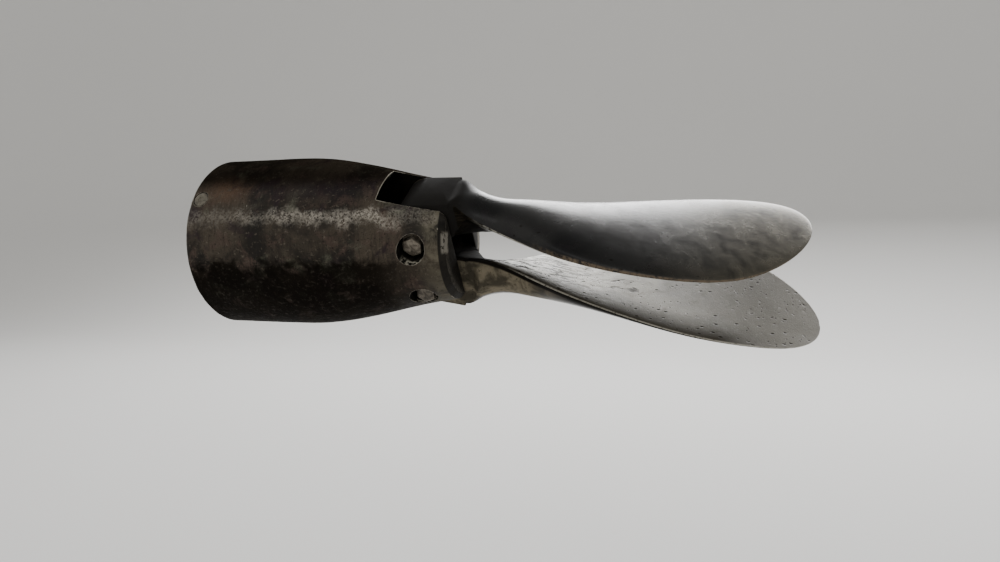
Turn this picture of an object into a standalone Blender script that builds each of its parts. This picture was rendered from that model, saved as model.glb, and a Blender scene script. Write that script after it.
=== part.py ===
"""Two-blade folding propeller with a slotted hub, posed with its blades folded aft.

World frame: metres, X runs aft along the shaft, Z is up and Y points away from the side that
shows the pin heads. The origin is on the shaft axis at the hub's fore face.

Hub frame, in which every piece is modelled: x runs aft, y is the direction in which the upper
blade swings out, and z is the direction of the two pivot pins.
"""
import math

import bmesh
import bpy
import numpy as np
from mathutils import Matrix, Vector

for old in list(bpy.data.objects):
    bpy.data.objects.remove(old, do_unlink=True)

# The gap left between two pieces that touch, and the side play of a turning fit.
TOUCH_GAP = 0.0003
TURNING_GAP = 0.0004
# How far a cutter reaches past the face that it opens.
OVERCUT = 0.003

# How far the hub is turned on the shaft: the angle from the toward-viewer side up to the slot.
SLOT_ANGLE = math.radians(56.3)
HUB_TURN = Matrix.Rotation(math.pi - SLOT_ANGLE, 4, "X")

# Hub barrel: its length, how far the pins stand from the aft end, and radii at stations given as
# shares of the length to the pins.
HUB_LENGTH = 0.1344
PIN_END_DISTANCE = 0.0161
PIN_STATION = HUB_LENGTH - PIN_END_DISTANCE
FORE_RADIUS = 0.0448
BELLY_SHARE = 0.284
BELLY_RADIUS = 0.0450
SHOULDER_SHARE = 0.511
SHOULDER_RADIUS = 0.0443
CONE_SHARE = 0.682
CONE_RADIUS = 0.0411
EAR_SHARE = 0.852
EAR_RADIUS = 0.0366
PIN_STATION_RADIUS = 0.0326
AFT_RADIUS = 0.0298
FORE_CHAMFER = 0.0008
AFT_CHAMFER_LENGTH = 0.0030
AFT_CHAMFER_DEPTH = 0.0026

# Shaft bore, the web that the shaft nut bears on, and the nut's pocket between web and slot.
BORE_RADIUS = 0.0275
WEB_THICKNESS = 0.006
NUT_POCKET_LENGTH = 0.0177
SHAFT_HOLE_RADIUS = 0.0108
NUT_POCKET_RADIUS = 0.0185

# Slot for the blade roots, open at the aft end. Its fore wall is bowed from side to side, and the
# bow's middle stands the given distance fore of the sweep about the pins.
SLOT_WIDTH = 0.0274
SLOT_SWEEP_RADIUS = 0.0277
SLOT_BOW_RADIUS = 0.0400
SLOT_BOW_SHIFT = 0.0012
EAR_CORNER_RADIUS = 0.0008

# Pivot pins and their recesses in the ears.
PIN_OFFSET = 0.0144
PIN_RADIUS = 0.0060
PIN_HEAD_ACROSS_FLATS = 0.0091
PIN_HEAD_RECESS = 0.0022
COUNTERBORE_RADIUS = 0.0067
COUNTERBORE_DEPTH = 0.0065

# Flush set screws near the fore face.
SET_SCREW_RADIUS = 0.0039
SET_SCREW_LENGTH = 0.010
SET_SCREW_STATION = 0.0058
SET_SCREW_ANGLE = math.radians(25.7)
SET_SCREW_RECESS = 0.0003
SET_SCREW_SOCKET = 0.0030
SET_SCREW_SOCKET_DEPTH = 0.0018

# Damper, splined sleeve, washer and nut inside the hub.
DAMPER_THICKNESS = 0.0050
SLEEVE_MAJOR_RADIUS = 0.0150
SLEEVE_MINOR_RADIUS = 0.0131
SPLINE_COUNT = 17
DAMPER_FORE_SETBACK = 0.0020
SLEEVE_FORE_SETBACK = 0.0008
WASHER_RADIUS = 0.0172
WASHER_THICKNESS = 0.0020
NUT_ACROSS_FLATS = 0.0300
NUT_THICKNESS = 0.0110
NUT_HOLE_RADIUS = 0.0100

# Blade root: the knuckle that turns on the pin, with a flat outer face. Its inner face is slanted,
# so that the two roots pass each other in the slot.
KNUCKLE_RADIUS = 0.0117
HEEL_RADIUS = 0.0156
HEEL_ANGLE = math.radians(130.0)
ROOT_FLAT_LENGTH = 0.0175
ROOT_DEEP_SIDE = 0.0165
ROOT_SHALLOW_SIDE = 0.0025
ROOT_LOFT_START = 0.0060
ROOT_PASSING_GAP = 0.0054
ROOT_EDGE_ROUNDING = 0.0011
BUSH_WALL = 0.0021

# Blade: its length from the pin axis, and where the squared root has turned into a blade section.
BLADE_LENGTH = 0.1854
TIP_ROUNDNESS = 5.0
ROOT_SQUARENESS = 9.0
ROOT_BLEND_START = 0.0160
ROOT_BLEND_END = 0.0265
EAR_CLEAR_STATION = 0.0215

# Blade sections at their distances from the pin axis. The middle of the chord and the reach from
# there to its edge are given outward from the pin and along the pin; the swells are how far the
# outer and the inner face stand off the chord.
ROOT_STATION = 0.0191
ROOT_MIDDLE = (-0.0010, 0.0008)
ROOT_REACH = (0.0159, 0.0130)
ROOT_SWELLS = (0.0190, 0.0025)
NECK_STATION = 0.0334
NECK_MIDDLE = (-0.0052, 0.0009)
NECK_REACH = (0.0112, 0.0145)
NECK_SWELLS = (0.0155, 0.0024)
FLARE_STATION = 0.0501
FLARE_MIDDLE = (-0.0055, 0.0031)
FLARE_REACH = (0.0084, 0.0203)
FLARE_SWELLS = (0.0147, 0.0032)
INNER_STATION = 0.0705
INNER_MIDDLE = (-0.0055, 0.0055)
INNER_REACH = (0.0090, 0.0312)
INNER_SWELLS = (0.0124, 0.0020)
BROAD_STATION = 0.0964
BROAD_MIDDLE = (-0.0077, 0.0043)
BROAD_REACH = (0.0074, 0.0385)
BROAD_SWELLS = (0.0084, 0.0010)
OUTER_STATION = 0.1261
OUTER_MIDDLE = (-0.0134, -0.0023)
OUTER_REACH = (0.0062, 0.0447)
OUTER_SWELLS = (0.0065, 0.0)
LAST_STATION = 0.1558
LAST_MIDDLE = (-0.0179, -0.0097)
LAST_REACH = (0.0031, 0.0461)
LAST_SWELLS = (0.0051, 0.0)
TIP_MIDDLE = (-0.0217, -0.0232)
TIP_REACH = (0.0027, 0.0470)
TIP_SWELLS = (0.0030, 0.0)

# How far each blade stands open from lying along the shaft.
UPPER_BLADE_OPEN = math.radians(-0.8)
LOWER_BLADE_OPEN = math.radians(11.8)

HUB_SEGMENTS = 96
SLOT_BOW_STEPS = 8
PIN_SEGMENTS = 40
BLADE_RING_POINTS = 36
ROOT_RINGS = 5
NECK_RINGS = 9
BLADE_RINGS = 34


def material(name, colour, roughness, metallic):
    made = bpy.data.materials.new(name)
    made.use_nodes = True
    shader = made.node_tree.nodes["Principled BSDF"]
    shader.inputs["Base Color"].default_value = (*colour, 1.0)
    shader.inputs["Roughness"].default_value = roughness
    shader.inputs["Metallic"].default_value = metallic
    made.diffuse_color = (*colour, 1.0)
    return made


def add_object(name, bm, matrix, finish=None, smooth_angle=30.0):
    bmesh.ops.recalc_face_normals(bm, faces=bm.faces)
    mesh = bpy.data.meshes.new(name)
    bm.to_mesh(mesh)
    bm.free()
    mesh.shade_smooth()
    mesh.set_sharp_from_angle(angle=math.radians(smooth_angle))
    made = bpy.data.objects.new(name, mesh)
    bpy.context.collection.objects.link(made)
    made.matrix_world = matrix
    if finish:
        mesh.materials.append(finish)
    return made


def mark_cutter(cutter):
    cutter.hide_render = True
    cutter.display_type = "WIRE"
    return cutter


def boolean(target, other, operation="DIFFERENCE"):
    modifier = target.modifiers.new(other.name, "BOOLEAN")
    modifier.operation = operation
    modifier.solver = "EXACT"
    modifier.object = other


def revolve(profile, segments):
    """A closed loop of (x, radius) points turned about the x axis."""
    bm = bmesh.new()
    rings = []
    for step in range(segments):
        angle = 2 * math.pi * step / segments
        c, s = math.cos(angle), math.sin(angle)
        rings.append([bm.verts.new((x, r * c, r * s)) for x, r in profile])
    count = len(profile)
    for step in range(segments):
        ring, following = rings[step], rings[(step + 1) % segments]
        for i in range(count):
            j = (i + 1) % count
            bm.faces.new((ring[i], ring[j], following[j], following[i]))
    return bm


def rod(profile, segments, phase=0.0):
    """A solid turned about the z axis from (z, radius) points, with flat ends."""
    bm = bmesh.new()
    rings = []
    for z, r in profile:
        ring = []
        for step in range(segments):
            angle = phase + 2 * math.pi * step / segments
            ring.append(bm.verts.new((r * math.cos(angle), r * math.sin(angle), z)))
        rings.append(ring)
    join_rings(bm, rings)
    return bm


def join_rings(bm, rings):
    count = len(rings[0])
    for ring, following in zip(rings, rings[1:]):
        for i in range(count):
            j = (i + 1) % count
            bm.faces.new((ring[i], ring[j], following[j], following[i]))
    bm.faces.new(reversed(rings[0]))
    bm.faces.new(rings[-1])


def prism(outline, low, high, place):
    """An outline of 2-D points carried from low to high, with place giving the 3-D point."""
    bm = bmesh.new()
    rings = [[bm.verts.new(place(u, v, w)) for u, v in outline] for w in (low, high)]
    join_rings(bm, rings)
    return bm


def arc(centre, radius, start, end, count):
    points = []
    for step in range(count):
        angle = start + (end - start) * step / (count - 1)
        points.append((centre[0] + radius * math.cos(angle), centre[1] + radius * math.sin(angle)))
    return points


def natural_curve(stations, values):
    """The natural cubic through the given stations, as a function of the distance."""
    x = np.array(stations)
    y = np.array(values)
    h = np.diff(x)
    rows = np.eye(len(x))
    right = np.zeros(len(x))
    for i in range(1, len(x) - 1):
        rows[i, i - 1:i + 2] = h[i - 1], 2 * (h[i - 1] + h[i]), h[i]
        right[i] = 6 * ((y[i + 1] - y[i]) / h[i] - (y[i] - y[i - 1]) / h[i - 1])
    bend = np.linalg.solve(rows, right)

    def value(at):
        i = min(max(int(np.searchsorted(x, at)) - 1, 0), len(x) - 2)
        before = (x[i + 1] - at) / h[i]
        after = 1 - before
        curve = (before ** 3 - before) * bend[i] + (after ** 3 - after) * bend[i + 1]
        return float(before * y[i] + after * y[i + 1] + curve * h[i] ** 2 / 6)

    return value


hub_radius = natural_curve(
    (0.0, BELLY_SHARE * PIN_STATION, SHOULDER_SHARE * PIN_STATION, CONE_SHARE * PIN_STATION,
     EAR_SHARE * PIN_STATION, PIN_STATION, HUB_LENGTH),
    (FORE_RADIUS, BELLY_RADIUS, SHOULDER_RADIUS, CONE_RADIUS, EAR_RADIUS, PIN_STATION_RADIUS, AFT_RADIUS),
)

bronze = material("hub_bronze", (0.070, 0.058, 0.045), 0.42, 0.85)
blade_bronze = material("blade_bronze", (0.085, 0.080, 0.072), 0.35, 0.85)
pin_steel = material("pin_steel", (0.33, 0.30, 0.26), 0.40, 0.90)
screw_steel = material("screw_steel", (0.38, 0.37, 0.33), 0.45, 0.90)
damper_rubber = material("damper_rubber", (0.020, 0.020, 0.020), 0.80, 0.0)
sleeve_bronze = material("sleeve_bronze", (0.30, 0.21, 0.10), 0.38, 0.95)
nut_bronze = material("nut_bronze", (0.26, 0.19, 0.10), 0.42, 0.95)
washer_steel = material("washer_steel", (0.40, 0.40, 0.39), 0.38, 0.95)
bush_bronze = material("bush_bronze", (0.36, 0.26, 0.12), 0.35, 0.95)

# Hub: a turned barrel, bored from the fore face and slotted from the aft end.
half_slot = SLOT_WIDTH / 2


def fore_wall_shift(z):
    """How far aft of the sweep about the pins the slot's bowed fore wall stands at z."""
    return SLOT_BOW_RADIUS - math.sqrt(SLOT_BOW_RADIUS ** 2 - z ** 2) - SLOT_BOW_SHIFT


pocket_meets_slot = PIN_STATION - math.sqrt(SLOT_SWEEP_RADIUS ** 2 - PIN_OFFSET ** 2)
POCKET_END = pocket_meets_slot + fore_wall_shift(half_slot) + TOUCH_GAP
WEB_AFT = POCKET_END - NUT_POCKET_LENGTH
BORE_DEPTH = WEB_AFT - WEB_THICKNESS
outer_stations = [HUB_LENGTH * i / 28 for i in range(29)]
profile = [(0.0, FORE_RADIUS - FORE_CHAMFER)]
for station in outer_stations:
    if station < FORE_CHAMFER:
        profile.append((FORE_CHAMFER, hub_radius(FORE_CHAMFER)))
    elif station > HUB_LENGTH - AFT_CHAMFER_LENGTH:
        profile.append((HUB_LENGTH - AFT_CHAMFER_LENGTH, hub_radius(HUB_LENGTH - AFT_CHAMFER_LENGTH)))
    else:
        profile.append((station, hub_radius(station)))
profile.append((HUB_LENGTH, AFT_RADIUS - AFT_CHAMFER_DEPTH))
profile.append((HUB_LENGTH, SHAFT_HOLE_RADIUS))
profile.append((POCKET_END, SHAFT_HOLE_RADIUS))
profile.append((POCKET_END, NUT_POCKET_RADIUS))
profile.append((WEB_AFT, NUT_POCKET_RADIUS))
profile.append((WEB_AFT, SHAFT_HOLE_RADIUS))
profile.append((BORE_DEPTH, SHAFT_HOLE_RADIUS))
profile.append((BORE_DEPTH, BORE_RADIUS))
profile.append((0.0, BORE_RADIUS))
hub = add_object("hub", revolve(profile, HUB_SEGMENTS), HUB_TURN, bronze)

# The slot's fore wall is swept about each pin, so that the blade heels turn clear of it.
slot_reach = BELLY_RADIUS + OVERCUT
meet = math.asin(PIN_OFFSET / SLOT_SWEEP_RADIUS)
fore_wall = arc((PIN_STATION, PIN_OFFSET), SLOT_SWEEP_RADIUS, math.pi / 2, math.pi + meet, 22)
fore_wall += arc((PIN_STATION, -PIN_OFFSET), SLOT_SWEEP_RADIUS, math.pi - meet, 1.5 * math.pi, 22)[1:]
bm = bmesh.new()
rings = []
for step in range(SLOT_BOW_STEPS + 1):
    z = half_slot * (2 * step / SLOT_BOW_STEPS - 1)
    outline = [(HUB_LENGTH + OVERCUT, slot_reach), (PIN_STATION, slot_reach)]
    outline += [(x + fore_wall_shift(z), y) for x, y in fore_wall]
    outline += [(PIN_STATION, -slot_reach), (HUB_LENGTH + OVERCUT, -slot_reach)]
    rings.append([bm.verts.new((x, y, z)) for x, y in outline])
join_rings(bm, rings)
slot_cutter = add_object("slot_cutter", bm, HUB_TURN)
boolean(hub, mark_cutter(slot_cutter))

# The ears' aft corners are rounded where the slot runs out.
corner_start = HUB_LENGTH - EAR_CORNER_RADIUS
near_flare = arc((corner_start, half_slot + EAR_CORNER_RADIUS), EAR_CORNER_RADIUS, -math.pi / 2, 0.0, 9)
far_flare = [(x, -b) for x, b in reversed(near_flare)]
flare_outline = [(corner_start - OVERCUT, half_slot * 0.9), *[(x, b) for x, b in near_flare]]
flare_outline += [(HUB_LENGTH + OVERCUT, half_slot + EAR_CORNER_RADIUS)]
flare_outline += [(HUB_LENGTH + OVERCUT, -half_slot - EAR_CORNER_RADIUS), *far_flare]
flare_outline += [(corner_start - OVERCUT, -half_slot * 0.9)]
flare_cutter = add_object(
    "slot_mouth_cutter",
    prism(flare_outline, -slot_reach, slot_reach, lambda u, v, w: (u, w, v)),
    HUB_TURN,
)
boolean(hub, mark_cutter(flare_cutter))

# Pin holes run through both ears and open into a counterbore at each side.
ear_face = math.sqrt(hub_radius(PIN_STATION) ** 2 - PIN_OFFSET ** 2)
counterbore_floor = ear_face - COUNTERBORE_DEPTH
hole_radius = PIN_RADIUS + TOUCH_GAP
reach = ear_face + 4 * OVERCUT
hole_profile = [
    (-reach, COUNTERBORE_RADIUS),
    (-counterbore_floor, COUNTERBORE_RADIUS),
    (-counterbore_floor, hole_radius),
    (counterbore_floor, hole_radius),
    (counterbore_floor, COUNTERBORE_RADIUS),
    (reach, COUNTERBORE_RADIUS),
]
pin_places = {"upper": PIN_OFFSET, "lower": -PIN_OFFSET}
for side, offset in pin_places.items():
    pin_matrix = HUB_TURN @ Matrix.Translation((PIN_STATION, offset, 0.0))
    pin_cutter = add_object(f"{side}_pin_hole_cutter", rod(hole_profile, PIN_SEGMENTS), pin_matrix)
    boolean(hub, mark_cutter(pin_cutter))

# Pivot pins: a plain shank with a short hexagon at each end, down in the counterbores.
head_corner = PIN_HEAD_ACROSS_FLATS / math.sqrt(3)
head_end = ear_face - PIN_HEAD_RECESS
shank_end = counterbore_floor + TOUCH_GAP
head_chamfer = 0.0008
for side, offset in pin_places.items():
    pin_matrix = HUB_TURN @ Matrix.Translation((PIN_STATION, offset, 0.0))
    shank = [
        (-shank_end, PIN_RADIUS - head_chamfer / 2),
        (-shank_end + head_chamfer / 2, PIN_RADIUS),
        (shank_end - head_chamfer / 2, PIN_RADIUS),
        (shank_end, PIN_RADIUS - head_chamfer / 2),
    ]
    pin = add_object(f"{side}_pivot_pin", rod(shank, PIN_SEGMENTS), pin_matrix, pin_steel)
    hexagon = [
        (-head_end, head_corner - head_chamfer),
        (-head_end + head_chamfer, head_corner),
        (head_end - head_chamfer, head_corner),
        (head_end, head_corner - head_chamfer),
    ]
    ends = add_object(f"{side}_pin_ends", rod(hexagon, 6, math.radians(20)), pin_matrix)
    boolean(pin, mark_cutter(ends), "UNION")

# Set screws: one on each side, turned in flush near the fore face.
screw_top = hub_radius(SET_SCREW_STATION) - SET_SCREW_RECESS
screw_foot = screw_top - SET_SCREW_LENGTH
socket_corner = SET_SCREW_SOCKET / math.sqrt(3)
for side, turn in {"near": 0.0, "far": math.pi}.items():
    # The screw's own z axis points out of the hub.
    outward = Vector((0.0, math.cos(SET_SCREW_ANGLE + turn), math.sin(SET_SCREW_ANGLE + turn)))
    aim = outward.to_track_quat("Z", "Y").to_matrix().to_4x4()
    screw_matrix = HUB_TURN @ Matrix.Translation((SET_SCREW_STATION, 0.0, 0.0)) @ aim
    hole = [(screw_foot - TOUCH_GAP, SET_SCREW_RADIUS + TOUCH_GAP)]
    hole += [(screw_top + OVERCUT, SET_SCREW_RADIUS + TOUCH_GAP)]
    screw_cutter = add_object(f"{side}_set_screw_cutter", rod(hole, 24), screw_matrix)
    boolean(hub, mark_cutter(screw_cutter))
    body = [(screw_foot, SET_SCREW_RADIUS - 0.0006), (screw_foot + 0.0006, SET_SCREW_RADIUS)]
    body += [(screw_top - 0.0003, SET_SCREW_RADIUS), (screw_top, SET_SCREW_RADIUS - 0.0003)]
    screw = add_object(f"{side}_set_screw", rod(body, 24), screw_matrix, screw_steel)
    socket = [(screw_top - SET_SCREW_SOCKET_DEPTH, socket_corner), (screw_top + OVERCUT, socket_corner)]
    socket_cutter = add_object(f"{side}_set_screw_socket_cutter", rod(socket, 6), screw_matrix)
    boolean(screw, mark_cutter(socket_cutter))

# Damper ring, pressed into the bore around the sleeve.
damper_outer = BORE_RADIUS - TOUCH_GAP
damper_inner = damper_outer - DAMPER_THICKNESS
damper_aft = BORE_DEPTH - TOUCH_GAP
ring = [(DAMPER_FORE_SETBACK, damper_inner), (DAMPER_FORE_SETBACK, damper_outer)]
ring += [(damper_aft, damper_outer), (damper_aft, damper_inner)]
add_object("damper_ring", revolve(ring, HUB_SEGMENTS // 2), HUB_TURN, damper_rubber)

# Splined sleeve, which slides on the shaft.
sleeve_outer = damper_inner - TOUCH_GAP
spline_points = []
for tooth in range(SPLINE_COUNT):
    for share, radius in ((0.00, SLEEVE_MINOR_RADIUS), (0.36, SLEEVE_MINOR_RADIUS),
                          (0.50, SLEEVE_MAJOR_RADIUS), (0.86, SLEEVE_MAJOR_RADIUS)):
        angle = 2 * math.pi * (tooth + share) / SPLINE_COUNT
        spline_points.append((radius * math.cos(angle), radius * math.sin(angle)))
outer_points = []
for u, v in spline_points:
    length = math.hypot(u, v)
    outer_points.append((u / length * sleeve_outer, v / length * sleeve_outer))
bm = bmesh.new()
loops = []
for outline in (outer_points, spline_points):
    for x in (SLEEVE_FORE_SETBACK, damper_aft):
        loops.append([bm.verts.new((x, u, v)) for u, v in outline])
outer_fore, outer_aft, inner_fore, inner_aft = loops
for i in range(len(spline_points)):
    j = (i + 1) % len(spline_points)
    bm.faces.new((outer_fore[i], outer_fore[j], outer_aft[j], outer_aft[i]))
    bm.faces.new((inner_fore[j], inner_fore[i], inner_aft[i], inner_aft[j]))
    bm.faces.new((outer_fore[j], outer_fore[i], inner_fore[i], inner_fore[j]))
    bm.faces.new((outer_aft[i], outer_aft[j], inner_aft[j], inner_aft[i]))
add_object("spline_sleeve", bm, HUB_TURN, sleeve_bronze)

# Washer and shaft nut, on the aft side of the web.
washer_fore = WEB_AFT + TOUCH_GAP
washer_aft = washer_fore + WASHER_THICKNESS
ring = [(washer_fore, SHAFT_HOLE_RADIUS), (washer_fore, WASHER_RADIUS)]
ring += [(washer_aft, WASHER_RADIUS), (washer_aft, SHAFT_HOLE_RADIUS)]
add_object("lock_washer", revolve(ring, 48), HUB_TURN, washer_steel)
nut_fore = washer_aft + TOUCH_GAP
nut_along_shaft = HUB_TURN @ Matrix.Rotation(math.pi / 2, 4, "Y")
nut_corner = NUT_ACROSS_FLATS / math.sqrt(3)
nut_body = [(nut_fore, nut_corner - 0.0008), (nut_fore + 0.0008, nut_corner)]
nut_body += [(nut_fore + NUT_THICKNESS - 0.0008, nut_corner), (nut_fore + NUT_THICKNESS, nut_corner - 0.0008)]
nut = add_object("shaft_nut", rod(nut_body, 6), nut_along_shaft, nut_bronze)
nut_hole = [(nut_fore - OVERCUT, NUT_HOLE_RADIUS), (nut_fore + NUT_THICKNESS + OVERCUT, NUT_HOLE_RADIUS)]
boolean(nut, mark_cutter(add_object("nut_hole_cutter", rod(nut_hole, 40), nut_along_shaft)))

# Blades: knuckle and twisted blade in one casting, bored for a bush.
knuckle_half = half_slot - TURNING_GAP
bush_outer = PIN_RADIUS + TURNING_GAP + BUSH_WALL
bush_bore = bush_outer + TOUCH_GAP


def knuckle_outline():
    points = [(ROOT_FLAT_LENGTH, -ROOT_SHALLOW_SIDE), (ROOT_FLAT_LENGTH, HEEL_RADIUS), (0.0, HEEL_RADIUS)]
    points += arc((0.0, 0.0), HEEL_RADIUS, math.pi / 2, HEEL_ANGLE, 9)[1:]
    # The eye runs round to where it meets the straight inner side.
    corner_angle = math.atan2(ROOT_SHALLOW_SIDE, ROOT_FLAT_LENGTH)
    corner_angle += math.acos(KNUCKLE_RADIUS / math.hypot(ROOT_SHALLOW_SIDE, ROOT_FLAT_LENGTH))
    points += arc((0.0, 0.0), KNUCKLE_RADIUS, HEEL_ANGLE + 0.45, 2 * math.pi - corner_angle, 22)
    return points


SECTIONS = (
    (ROOT_STATION, ROOT_MIDDLE, ROOT_REACH, ROOT_SWELLS),
    (NECK_STATION, NECK_MIDDLE, NECK_REACH, NECK_SWELLS),
    (FLARE_STATION, FLARE_MIDDLE, FLARE_REACH, FLARE_SWELLS),
    (INNER_STATION, INNER_MIDDLE, INNER_REACH, INNER_SWELLS),
    (BROAD_STATION, BROAD_MIDDLE, BROAD_REACH, BROAD_SWELLS),
    (OUTER_STATION, OUTER_MIDDLE, OUTER_REACH, OUTER_SWELLS),
    (LAST_STATION, LAST_MIDDLE, LAST_REACH, LAST_SWELLS),
    (BLADE_LENGTH, TIP_MIDDLE, TIP_REACH, TIP_SWELLS),
)
section_stations = [section[0] for section in SECTIONS]
middle_out, middle_along, reach_out, reach_along, outer_swell, inner_swell = (
    natural_curve(section_stations, [section[part][side] for section in SECTIONS])
    for part in (1, 2, 3) for side in (0, 1)
)


def deep_side(s):
    """The root's deep side, hollowed about the other pin so that the other eye turns clear of it."""
    hollow = (KNUCKLE_RADIUS + ROOT_PASSING_GAP) ** 2 - s ** 2
    return min(ROOT_DEEP_SIDE, 2 * PIN_OFFSET - math.sqrt(max(hollow, 0.0)))


def blade_ring(bm, s):
    """The section at s: a slanted block at the root, which turns into a flat-faced blade."""
    closing = math.sqrt(max(1 - (s / BLADE_LENGTH) ** TIP_ROUNDNESS, 0.0))
    out, along = reach_out(s) * closing, reach_along(s) * closing
    chord = math.hypot(out, along)
    normal = (along / chord, -out / chord)
    outer, inner = max(outer_swell(s), 0.0) * closing, max(inner_swell(s), 0.0) * closing
    share = min(max((s - ROOT_BLEND_START) / (ROOT_BLEND_END - ROOT_BLEND_START), 0.0), 1.0)
    share = share * share * (3 - 2 * share)
    width_limit = knuckle_half + max(s - EAR_CLEAR_STATION, 0.0)
    deep = deep_side(s)
    ring = []
    for step in range(BLADE_RING_POINTS):
        turn = 2 * math.pi * step / BLADE_RING_POINTS
        c, t = math.cos(turn), math.sin(turn)
        swell = t * (outer if t > 0 else inner)
        blade_a = middle_out(s) + out * c + normal[0] * swell
        blade_b = middle_along(s) + along * c + normal[1] * swell
        blade_b = min(max(blade_b, -width_limit), width_limit)
        c, t = math.cos(math.pi / 4 - turn), math.sin(math.pi / 4 - turn)
        outward = (1 + math.copysign(abs(c) ** (2 / ROOT_SQUARENESS), c)) / 2
        sideways = math.copysign(abs(t) ** (2 / ROOT_SQUARENESS), t)
        inner_face = -deep + (deep - ROOT_SHALLOW_SIDE) * (1 + sideways) / 2
        root_a = inner_face + (HEEL_RADIUS - inner_face) * outward
        root_b = knuckle_half * sideways
        a = root_a + (blade_a - root_a) * share
        b = root_b + (blade_b - root_b) * share
        ring.append(bm.verts.new((s, a, b)))
    return ring


def blade_mesh():
    bm = bmesh.new()
    rings = []
    for step in range(ROOT_RINGS):
        rings.append(blade_ring(bm, ROOT_LOFT_START + (ROOT_BLEND_START - ROOT_LOFT_START) * step / ROOT_RINGS))
    for step in range(NECK_RINGS):
        s = ROOT_BLEND_START + (NECK_STATION - ROOT_BLEND_START) * step / NECK_RINGS
        rings.append(blade_ring(bm, s))
    start = math.asin(NECK_STATION / BLADE_LENGTH)
    for step in range(BLADE_RINGS):
        t = start + (math.radians(86.0) - start) * step / (BLADE_RINGS - 1)
        rings.append(blade_ring(bm, BLADE_LENGTH * math.sin(t)))
    count = BLADE_RING_POINTS
    for ring, following in zip(rings, rings[1:]):
        for i in range(count):
            j = (i + 1) % count
            bm.faces.new((ring[i], ring[j], following[j], following[i]))
    bm.faces.new(reversed(rings[0]))
    tip = bm.verts.new((BLADE_LENGTH, TIP_MIDDLE[0], TIP_MIDDLE[1]))
    for i in range(count):
        bm.faces.new((rings[-1][i], rings[-1][(i + 1) % count], tip))
    return bm


blade_places = {"upper": (0.0, UPPER_BLADE_OPEN), "lower": (math.pi, LOWER_BLADE_OPEN)}
for side, (half_turn, opening) in blade_places.items():
    pin_axis = HUB_TURN @ Matrix.Rotation(half_turn, 4, "X") @ Matrix.Translation((PIN_STATION, PIN_OFFSET, 0.0))
    blade_matrix = pin_axis @ Matrix.Rotation(opening, 4, "Z")
    blade = add_object(f"{side}_blade", blade_mesh(), blade_matrix, blade_bronze, 40.0)
    knuckle = prism(knuckle_outline(), -knuckle_half, knuckle_half, lambda u, v, w: (u, v, w))
    root = add_object(f"{side}_blade_knuckle", knuckle, blade_matrix)
    rounding = root.modifiers.new("rounding", "BEVEL")
    rounding.width = ROOT_EDGE_ROUNDING
    rounding.segments = 2
    rounding.limit_method = "ANGLE"
    rounding.angle_limit = math.radians(40)
    boolean(blade, mark_cutter(root), "UNION")
    bore = rod([(-half_slot, bush_bore), (half_slot, bush_bore)], PIN_SEGMENTS)
    boolean(blade, mark_cutter(add_object(f"{side}_blade_bore_cutter", bore, blade_matrix)))
    bush_ring = [(-knuckle_half, bush_outer), (knuckle_half, bush_outer)]
    bush = add_object(f"{side}_blade_bush", rod(bush_ring, PIN_SEGMENTS), blade_matrix, bush_bronze)
    bush_hole = rod([(-half_slot, PIN_RADIUS + TURNING_GAP), (half_slot, PIN_RADIUS + TURNING_GAP)], PIN_SEGMENTS)
    boolean(bush, mark_cutter(add_object(f"{side}_bush_bore_cutter", bush_hole, blade_matrix)))
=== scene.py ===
import math

import bmesh
import bpy
import numpy as np
from mathutils import Matrix, Vector, kdtree, noise


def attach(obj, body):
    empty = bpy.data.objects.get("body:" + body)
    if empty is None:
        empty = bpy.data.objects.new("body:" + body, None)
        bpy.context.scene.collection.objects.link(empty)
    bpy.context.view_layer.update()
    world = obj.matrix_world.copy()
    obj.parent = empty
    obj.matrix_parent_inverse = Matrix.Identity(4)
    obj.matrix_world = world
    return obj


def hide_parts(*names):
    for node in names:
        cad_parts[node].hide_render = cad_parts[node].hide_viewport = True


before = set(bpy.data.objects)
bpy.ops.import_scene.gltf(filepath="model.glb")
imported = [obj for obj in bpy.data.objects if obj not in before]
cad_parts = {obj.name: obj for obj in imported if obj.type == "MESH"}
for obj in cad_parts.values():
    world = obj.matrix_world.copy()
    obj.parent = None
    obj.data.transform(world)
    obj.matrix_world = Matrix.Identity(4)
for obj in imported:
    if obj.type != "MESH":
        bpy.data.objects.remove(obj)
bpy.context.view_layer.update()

# Studio: a pale paper floor that sweeps up into a backdrop, under a dome of light that dims overhead.
# A wide softbox behind catches the tops of the blades, a small one their tips, and a weak strip in
# front the hub. The camera keeps the photo's viewpoint, with a wide lens a third of a metre away.
FLOOR_HEIGHT = -0.32
FLOOR_HALF_WIDTH = 4.0
FLOOR_FRONT = -3.0
BACKDROP_START = 1.3
BACKDROP_RADIUS = 1.2
BACKDROP_TOP = 3.2
SWEEP_STEPS = 16
PAPER_COLOUR = (0.6, 0.595, 0.585, 1.0)
PAPER_ROUGHNESS = 0.9
CAMERA_PLACE = Vector((0.2567, -0.3527, 0.0084))
CAMERA_AZIMUTH = math.radians(16.3)
CAMERA_TILT = math.radians(-4.56)
CAMERA_ROLL = math.radians(-0.74)
CAMERA_LENS = 26.0
DOME_COLOUR = (0.86, 0.85, 0.82, 1.0)
DOME_FALLOFF = {"From Min": 0.66, "From Max": 0.88, "To Min": 0.98, "To Max": 0.55}
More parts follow.
